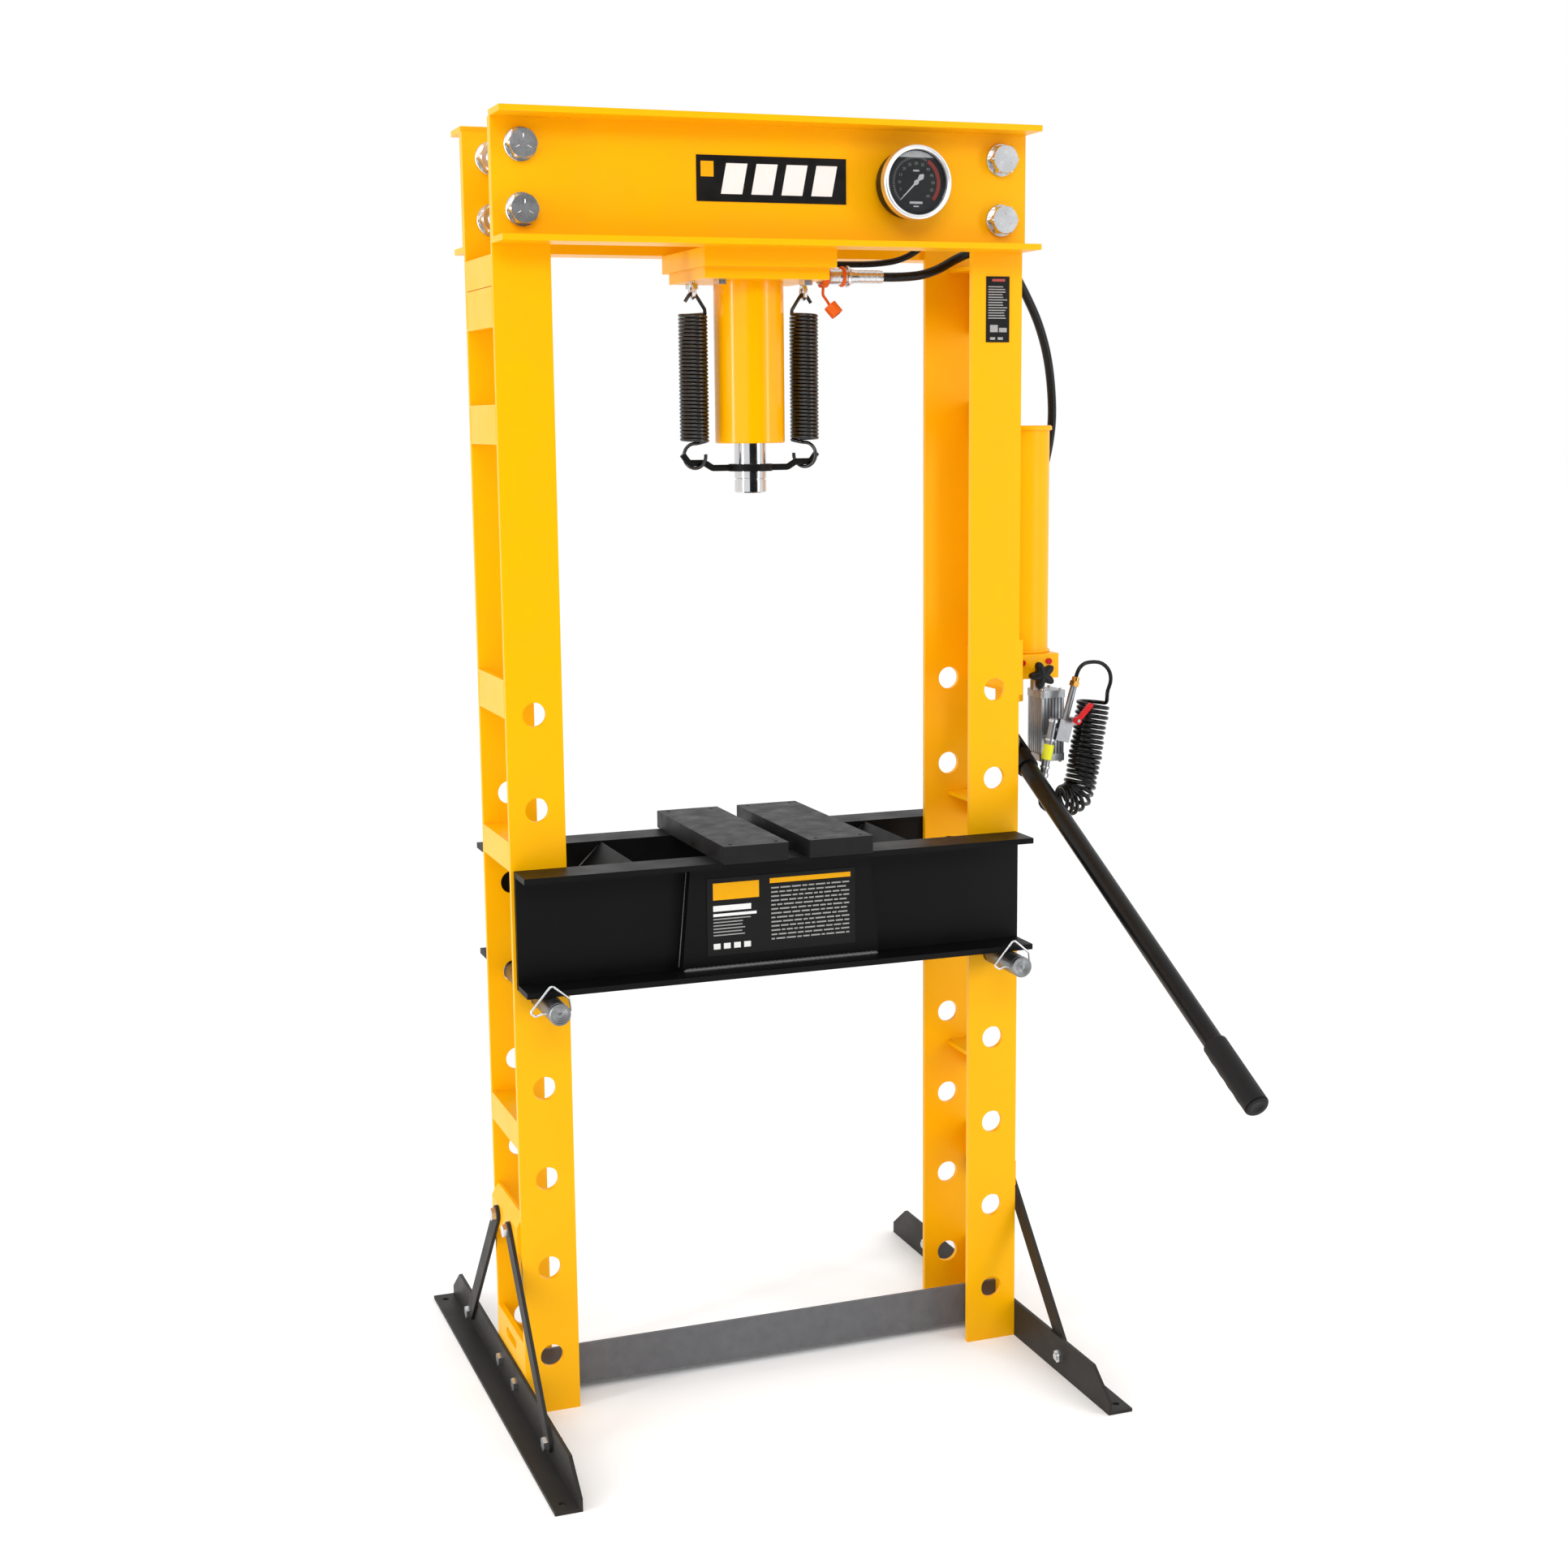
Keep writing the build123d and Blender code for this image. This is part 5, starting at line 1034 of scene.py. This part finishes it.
# ------------------------------------------------------------------ pump
@dataclass
class Pump:
    """Pump block, oil tank, air motor, valve, knob and handle."""

    tank_x: float = 426.0
    tank_radius: float = 39.0
    tank_low: float = 1039.0
    tank_high: float = 1365.0
    pivot: Point = (410.0, 25.0, 914.0)
    slope: float = 27.5
    handle_length: float = 815.0
    tube_radius: float = 13.5
    grip: float = 118.0
    grip_wall: float = 3.0
    knob_x: float = 426.0
    knob_z: float = 1010.0
    knob_front: float = -76.0
    outlet_top: Point = (451.0, -60.0, 944.0)
    outlet_foot: Point = (433.5, -60.0, 856.0)

    def make(self) -> None:
        """Dress the pump and build its round pieces."""
        dress(YELLOW, "pump_casting")
        dress(RED, "port_plugs", "air_valve_lever")
        dress(ALUMINIUM, "air_motor", soften=0.5)
        dress(STEEL, "pump_plunger", "air_valve_body")
        dress(HANDLE_PAINT, "handle_socket", soften=0.6)
        dress(BRASS, "brass_air_inlet")
        self.tank()
        self.handle()
        self.knob()
        self.motor_details()

    def tank(self) -> None:
        """Tank tube with its foot weld, and the rimmed cap with its plug."""
        r, height = self.tank_radius, self.tank_high - self.tank_low
        tube = ring_turned([(r - 3, 0), (r, 0), (r, height), (r - 3, height)],
                           (self.tank_x, 0, self.tank_low), UP, 128)
        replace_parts(build("oil_tank_tube", [tube, self.foot_bead()], YELLOW), "oil_reservoir")
        cap = [(CORE, -8), (r - 3.05, -8), (r - 3.05, 0), (41.5, 0), (42.5, 1.0), (42.5, 5),
               (40.5, 7), (CORE, 7)]
        lid = turned(cap, (self.tank_x, 0, self.tank_high), UP, 96)
        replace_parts(build("oil_tank_cap", [lid], YELLOW, 35), "reservoir_cap")
        plug = [(CORE, 0), (7, 0), (8.1, 0.6), (8.1, 10.8), (7.2, 12), (CORE, 12)]
        build("oil_filler_plug",
              [turned(plug, (self.tank_x - 20, 0, self.tank_high + 7), UP, 48, hexed(14))],
              ZINC, 35)

    def foot_bead(self) -> Patch:
        """Weld ring round the tank's foot: a circle whose wire swells once in each 6 mm."""
        a, r = np.linspace(0, 2 * math.pi, 160, endpoint=False), self.tank_radius + 0.5
        ring = np.stack([self.tank_x + r * np.cos(a), r * np.sin(a),
                         np.full(160, self.tank_low + 2)], 1)
        return pipe(ring, 2.6 + 0.25 * np.sin(a * 40), 10)

    def along(self, distance: float) -> Array:
        """Point on the handle's axis that far from the pivot, at rest."""
        a = math.radians(self.slope)
        return np.array(self.pivot) + distance * np.array([0, -math.cos(a), -math.sin(a)])

    def handle(self) -> None:
        """Tube and rubber grip with finger grooves, from the socket to the grip's end.

        The grooves are a sine wave along the grip's underside, which fades out round it.
        """
        axis = self.along(1.0) - self.along(0.0)
        start, far, low = 68.0, self.handle_length, self.handle_length - self.grip
        r, o = self.tube_radius, self.tube_radius + self.grip_wall
        tube = ring_turned([(11, start), (r, start), (r, far - 3), (11, far - 3)], self.pivot,
                           axis, 64)
        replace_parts(build("handle_tube_drawn", [tube], HANDLE_PAINT, body=Body.HANDLE),
                    "handle_tube")
        x, y, z = basis(axis)
        h = np.linspace(low, far - 2.5, 110)
        wave = np.sin((h - low - 10) / (self.grip - 24) * 8 * math.pi - math.pi / 2)
        dip = np.where((h > low + 10) & (h < far - 14), 0.5 + 0.5 * wave, 0.0)
        angle = np.linspace(0, 2 * math.pi, 56, endpoint=False)
        cos, sin = np.cos(angle)[None, :, None], np.sin(angle)[None, :, None]
        under = np.clip(-(cos * x[2] + sin * y[2]), 0, 1)[..., 0] ** 1.5
        ends = np.minimum(1.0, 0.86 + 0.14 * np.minimum(h - h[0], h[-1] + 2.5 - h) / 3.0)
        radius = (o + 1.2 * dip[:, None] * under) * ends[:, None]
        radius[0] = r + 0.05
        points = (np.array(self.pivot) + h[:, None, None] * z
                  + radius[..., None] * (cos * x + sin * y))
        cap = turned([(CORE, far - 2.6), (o * 0.9, far - 2.6), (o * 0.92, far - 1.2),
                      (o * 0.84, far), (7, far), (6, far - 0.8), (CORE, far - 0.8)],
                     self.pivot, axis, 56)
        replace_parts(build("handle_grip_moulded", [grid_patch(points * MM), cap], GRIP,
                          50, Body.HANDLE), "handle_grip")

    def knob(self) -> None:
        """Star knob: radius swells five times round, with soft edges front and back."""
        def star(radius: Array, angle: Array) -> Array:
            """Radius times a five-lobed wave."""
            lobe = 0.5 + 0.5 * np.cos(5 * (angle + math.radians(20)))
            return radius * (0.52 + 0.48 * lobe ** 0.8)
        profile = [(CORE, 0), (15, 0), (19.3, 1.4), (20.8, 3.5), (20.8, 10), (19, 12.8),
                   (14, 14), (CORE, 14)]
        origin = (self.knob_x, self.knob_front, self.knob_z)
        patches = [turned(profile, origin, DEEP, 120, star),
                   turned([(CORE, 11), (9.5, 11), (8.5, 16), (CORE, 16)], origin, DEEP, 40),
                   turned([(CORE, 14), (5, 14), (5, 40), (CORE, 40)], origin, DEEP, 24)]
        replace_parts(build("release_knob_moulded", patches, KNOB_PLASTIC, 45, Body.KNOB),
                    "release_knob")

    def motor_details(self) -> None:
        """Socket screws in the motor's covers and the lime band on the valve's pipe."""
        screw = [(CORE, -1), (3, -1), (3, 2), (2.4, 2.8), (1.4, 2.8), (1.3, 1.0), (CORE, 1.0)]
        patches = [turned(screw, (x, y, z), (0, 0, up), 24) for x in (447.0, 476.0)
                   for y in (-32.0, 6.0) for z, up in ((982.0, 1), (876.0, -1))]
        build("motor_cover_screws", patches, ZINC, 35)
        top, foot = np.array(self.outlet_top), np.array(self.outlet_foot)
        a, b = top + (foot - top) * 0.44, top + (foot - top) * 0.70
        length = float(np.linalg.norm(b - a))
        band = [(6.05, 0), (7.6, 0.5), (7.9, 2), (7.9, length - 2), (7.6, length - 0.5),
                (6.05, length)]
        build("outlet_pipe_band", [ring_turned(band, tuple(a), tuple(b - a), 40)], BAND)
        rings = [ring_turned([(6.02, 0), (7.4, 0.4), (7.4, width - 0.4), (6.02, width)],
                             tuple(top + (foot - top) * share), tuple(foot - top), 36)
                 for share, width in ((0.02, 5.0), (0.34, 4.0), (0.80, 4.0), (0.92, 6.0))]
        build("outlet_pipe_rings", rings, ZINC, 30)


# ------------------------------------------------------------------ hoses
@dataclass
class Hoses:
    """Hydraulic hose, gauge hose and curly air hose with their fittings."""

    hydraulic: Tuple[Point, ...] = (
        (193, -20, 1581), (237, -20, 1581), (276, -19.5, 1590), (311, -15, 1609), (345, -6, 1621),
        (379, 3, 1621), (411, 11, 1599), (438, 20, 1563), (465, 28, 1520), (486, 36, 1465),
        (498, 45, 1391), (496, 52, 1341), (485, 58, 1289), (470, 62, 1237), (455, 63, 1185),
        (443, 61, 1142), (440, 57, 1108), (440, 57, 1075),
    )
    gauge: Tuple[Point, ...] = (
        (109, 0, 1599), (150, 0, 1599), (192, -2, 1600), (230, -9, 1606), (259, -22, 1626),
        (272, -36, 1656), (262, -50, 1684), (240, -72, 1700), (212, -72, 1700),
    )
    coil: Tuple[Point, ...] = (
        (521, -52, 966), (514, -52, 920), (503, -54, 862), (489, -60, 815), (459, -60, 819.3),
    )
    lead_in: Tuple[Point, ...] = (
        (486.7, -60, 1003.5), (489.3, -60, 1012.6), (495.6, -60, 1020.4), (505.7, -58.5, 1024.7),
        (531, -55, 1023.6), (547, -53, 1010), (550, -52, 992.5), (543, -52, 977.8),
    )
    lead_out: Tuple[Point, ...] = (
        (432, -60, 810), (427.3, -60, 824.6), (433.5, -60, 856),
    )
    coil_radius: float = 23.2
    coil_turns: int = 23
    coil_steps: int = 14
    air_radius: float = 3.0

    def make(self) -> None:
        """Lay the three hoses and build the fittings at their ends."""
        for node, route, radius in (("hydraulic_hose", self.hydraulic, 6.5),
                                    ("gauge_hose", self.gauge, 4.5)):
            hose = self.cord(node + "_line", route, radius, HOSE)
            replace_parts(hose, node)
        self.air()
        self.fittings()
        dress(ORANGE, "coupler_dust_cap")

    def cord(self, name: str, points: Iterable[Sequence[float]], radius: float,
             finish: Finish, smooth: bool = True) -> bpy.types.Object:
        """Curve of one smooth spline with the route's points as its control points.

        Args:
            name: The curve's name.
            points: Control points in millimetres.
            radius: Half of the hose's diameter in millimetres.
            finish: Its finish.
            smooth: Whether it needs many steps between its points.

        Returns:
            The curve object, on the frame.
        """
        points = list(points)
        curve = bpy.data.curves.new(name, "CURVE")
        curve.dimensions = "3D"
        spline = curve.splines.new("NURBS")
        spline.points.add(len(points) - 1)
        flat = np.ones((len(points), 4))
        flat[:, :3] = np.array(points, float) * MM
        spline.points.foreach_set("co", flat.ravel())
        spline.order_u = 3
        spline.use_endpoint_u = True
        spline.resolution_u = 8 if smooth else 3
        curve.bevel_depth = radius * MM
        curve.bevel_resolution = 5 if radius > 4 else 3
        curve.use_fill_caps = True
        curve.materials.append(finish.material())
        obj = add_object(name, curve)
        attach(obj, Body.FRAME.value)
        return obj

    def line(self, points: Sequence[Point]) -> Array:
        """Points of the route's smooth line, read from a spline that has no thickness."""
        guide = self.cord("guide_line", points, 0.0, AIR_HOSE)
        guide.data.splines[0].resolution_u = 24
        mesh = final_mesh(guide)
        found = np.zeros(len(mesh.vertices) * 3)
        mesh.vertices.foreach_get("co", found)
        return found.reshape(-1, 3) / MM

    def helix(self) -> Array:
        """Helix round the smooth line: line + r*(cos a * side + sin a * forward).

        The radius wanders by about a millimetre, as the turns of a real hose do.
        """
        axis = self.line(self.coil)
        steps = np.concatenate([[0], np.cumsum(np.linalg.norm(np.diff(axis, axis=0), axis=1))])
        count = self.coil_turns * self.coil_steps
        t = np.linspace(0.012, 0.985, count) * steps[-1]
        centre, run = (np.stack([np.interp(t, steps, row[:, k]) for k in range(3)], 1)
                       for row in (axis, np.gradient(axis, axis=0)))
        run, front = unit(run), np.array([0, -1.0, 0])
        forward = unit(front - run * (run @ front)[:, None])
        side = np.cross(run, forward)
        angle = math.pi + np.linspace(0, 2 * math.pi * self.coil_turns, count)
        wobble = self.coil_radius - 0.9 + 0.8 * np.sin(angle * 0.37) + 0.5 * np.sin(angle * 0.113)
        out = np.cos(angle)[:, None] * side + np.sin(angle)[:, None] * forward
        return centre + wobble[:, None] * out

    def air(self) -> None:
        """Curly air hose in one line: the loop from the union, its helix and its plain end."""
        helix = self.helix()
        points = list(self.lead_in) + helix.tolist() + list(self.lead_out)
        hose = self.cord("curly_air_hose_line", points, self.air_radius, AIR_HOSE, smooth=False)
        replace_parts(hose, "curly_air_hose", "inlet_air_lead", "outlet_air_lead")

    def fittings(self) -> None:
        """Quick coupler with its knurled sleeve and crimped ferrule, the union and the tap."""
        coupler = [(CORE, 0), (6, 0), (6, 6), (10.4, 6), (11, 6.8), (11, 12), (10, 12.6),
                   (10, 14), (11.2, 14.6)]
        for h in (k * 1.8 for k in range(12)):
            coupler += [(11.2, 15 + h), (10.6, 15.9 + h)]
        coupler += [(11.2, 37), (11.2, 45), (10.4, 48), (14.2, 48.2), (15, 49), (15, 51.2),
                    (14.2, 52), (10, 52), (10.4, 58), (8.6, 58.6)]
        for h in (k * 8.4 for k in range(5)):
            coupler += [(9.2, 60 + h), (9.2, 65.5 + h), (8.7, 66.3 + h), (8.7, 67.6 + h)]
        coupler += [(8.8, 102.5), (8.2, 103.0), (6.5, 103.0), (CORE, 103.0)]
        union = [(CORE, 10), (8.6, 10), (9, 10.6), (9, 22), (8.3, 22.6), (8.3, 24), (9, 24.6),
                 (9, 35), (8.2, 36), (CORE, 36)]
        nut = [(CORE, 0), (9, 0), (10.4, 0.8), (10.4, 9.2), (9, 10), (CORE, 10)]
        tap = [(CORE, 0), (7, 0), (7, 3), (6, 3.6), (6, 5), (7, 5.6), (7, 13.4), (6.2, 14),
               (CORE, 14)]
        port = (440.0, 57.0, 1039.0)
        patches = [turned(coupler, (90.0, -20.0, 1581.0), ACROSS, 48),
                   turned(union, port, UP, 48), turned(nut, port, UP, 48, hexed(18)),
                   turned(tap, (95.0, 0.0, 1599.0), ACROSS, 36)]
        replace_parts(build("hose_couplings_plated", patches, ZINC, 30),
                    "hose_fittings")
        ring = [(11.25, 0), (13.6, 0.6), (14.4, 2), (14.4, 3.5), (13.6, 4.9), (11.25, 5.5)]
        build("coupler_orange_ring", [ring_turned(ring, (129.5, -20.0, 1581.0), ACROSS, 48)],
              ORANGE)


# ------------------------------------------------------------------ studio
@dataclass
class Studio:
    """Pale floor, soft lights and the camera."""

    camera_place: Point = (-1054.5, -2984.4, 1385.3)
    yaw: float = 20.24
    pitch: float = 9.33
    roll: float = -0.55
    lens: float = 51.05

    def make(self) -> None:
        """Build the camera, the floor and the lights."""
        self.camera()
        self.floor()
        self.lights()

    def camera(self) -> None:
        """Camera at the shoulder height of someone who stands well back to the left."""
        data = bpy.data.cameras.new("studio_camera")
        data.lens = self.lens
        data.sensor_width = 36.0
        data.clip_end = 50.0
        cam = add_object("studio_camera", data)
        cam.matrix_world = (
            Matrix.Translation(Vector(self.camera_place) * MM)
            @ Matrix.Rotation(math.radians(-self.yaw), 4, "Z")
            @ Matrix.Rotation(math.radians(90 - self.pitch), 4, "X")
            @ Matrix.Rotation(math.radians(self.roll), 4, "Z"))
        bpy.context.scene.camera = cam

    def floor(self) -> None:
        """Plain pale floor, wide enough to fill the view."""
        r = 30.0
        self.plane("studio_floor", [(-r, -r, 0), (r, -r, 0), (r, r, 0), (-r, r, 0)],
                   "studio_floor_white", "#FFFFFF", 0.9, 0.05)

    def plane(self, name: str, corners: List[Point], cloth: str, colour: str, roughness: float,
              glow: float = 0.0) -> bpy.types.Object:
        """Flat plain surface of the studio.

        Args:
            name: The object's name.
            corners: Four corners in metres.
            cloth: The material's name.
            colour: Its sRGB hex colour.
            roughness: Its roughness.
            glow: White light of its own, which keeps a white floor white to its edge.

        Returns:
            The object.
        """
        mesh = bpy.data.meshes.new(name)
        mesh.from_pydata(corners, [], [(0, 1, 2, 3)])
        paint = bpy.data.materials.new(cloth)
        paint.use_nodes = True
        inputs = paint.node_tree.nodes["Principled BSDF"].inputs
        inputs["Base Color"].default_value = linear(colour)
        inputs["Roughness"].default_value = roughness
        if glow:
            inputs["Emission Color"].default_value = (1.0, 1.0, 1.0, 1.0)
            inputs["Emission Strength"].default_value = glow
        mesh.materials.append(paint)
        obj = add_object(name, mesh)
        return obj

    def lights(self) -> None:
        """White surround, a dark flag behind the camera and soft lamps, two of them upright."""
        world = bpy.data.worlds.new("studio_surround")
        world.use_nodes = True
        back = world.node_tree.nodes["Background"]
        back.inputs["Color"].default_value = (1.0, 1.0, 1.0, 1.0)
        back.inputs["Strength"].default_value = 1.0
        bpy.context.scene.world = world
        bpy.context.scene.view_settings.view_transform = "Standard"
        left, right, y, top = -2.4, 3.0, -5.2, 3.4
        flag = self.plane("studio_flag", [(left, y, 0), (right, y, 0), (right, y, top),
                                          (left, y, top)], "studio_flag_cloth", "#050505", 1.0)
        flag.visible_camera = False
        self.lamp("key_light", (-0.9, -3.9, 3.3), (2.4, 1.2), 46.0)
        self.lamp("left_strip", (-2.88, -0.77, 1.35), (0.22, 2.3), 30.0)
        self.lamp("right_strip", (2.04, -2.2, 1.35), (0.26, 2.3), 17.0)

    def lamp(self, name: str, place: Point, size: Tuple[float, float], power: float) -> None:
        """Rectangular soft lamp that looks at the middle of the press.

        Args:
            name: The lamp's name.
            place: Where it hangs, in metres.
            size: Width and height in metres.
            power: Watts.
        """
        data = bpy.data.lights.new(name, "AREA")
        data.shape = "RECTANGLE"
        data.size, data.size_y = size
        data.energy = power
        lamp = add_object(name, data)
        aim = Vector((0, 0, 1.1)) - Vector(place)
        lamp.matrix_world = (Matrix.Translation(place)
                             @ aim.to_track_quat("-Z", "Y").to_matrix().to_4x4())


def main() -> None:
    """Build every sub-assembly in order."""
    logging.basicConfig(level=logging.INFO, format="%(name)s: %(message)s")
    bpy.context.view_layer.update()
    for part in (Studio(), Frame(), Cylinder(), Bed(), Gauge(), Pump(), Hoses()):
        part.make()
        LOG.info("%s done", type(part).__name__)


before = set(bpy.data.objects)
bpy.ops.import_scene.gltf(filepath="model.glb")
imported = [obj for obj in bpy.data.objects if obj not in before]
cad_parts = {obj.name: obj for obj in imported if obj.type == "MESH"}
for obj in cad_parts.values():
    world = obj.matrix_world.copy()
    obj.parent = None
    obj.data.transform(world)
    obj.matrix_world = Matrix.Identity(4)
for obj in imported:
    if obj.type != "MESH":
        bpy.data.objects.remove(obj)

if __name__ == "__main__":
    main()
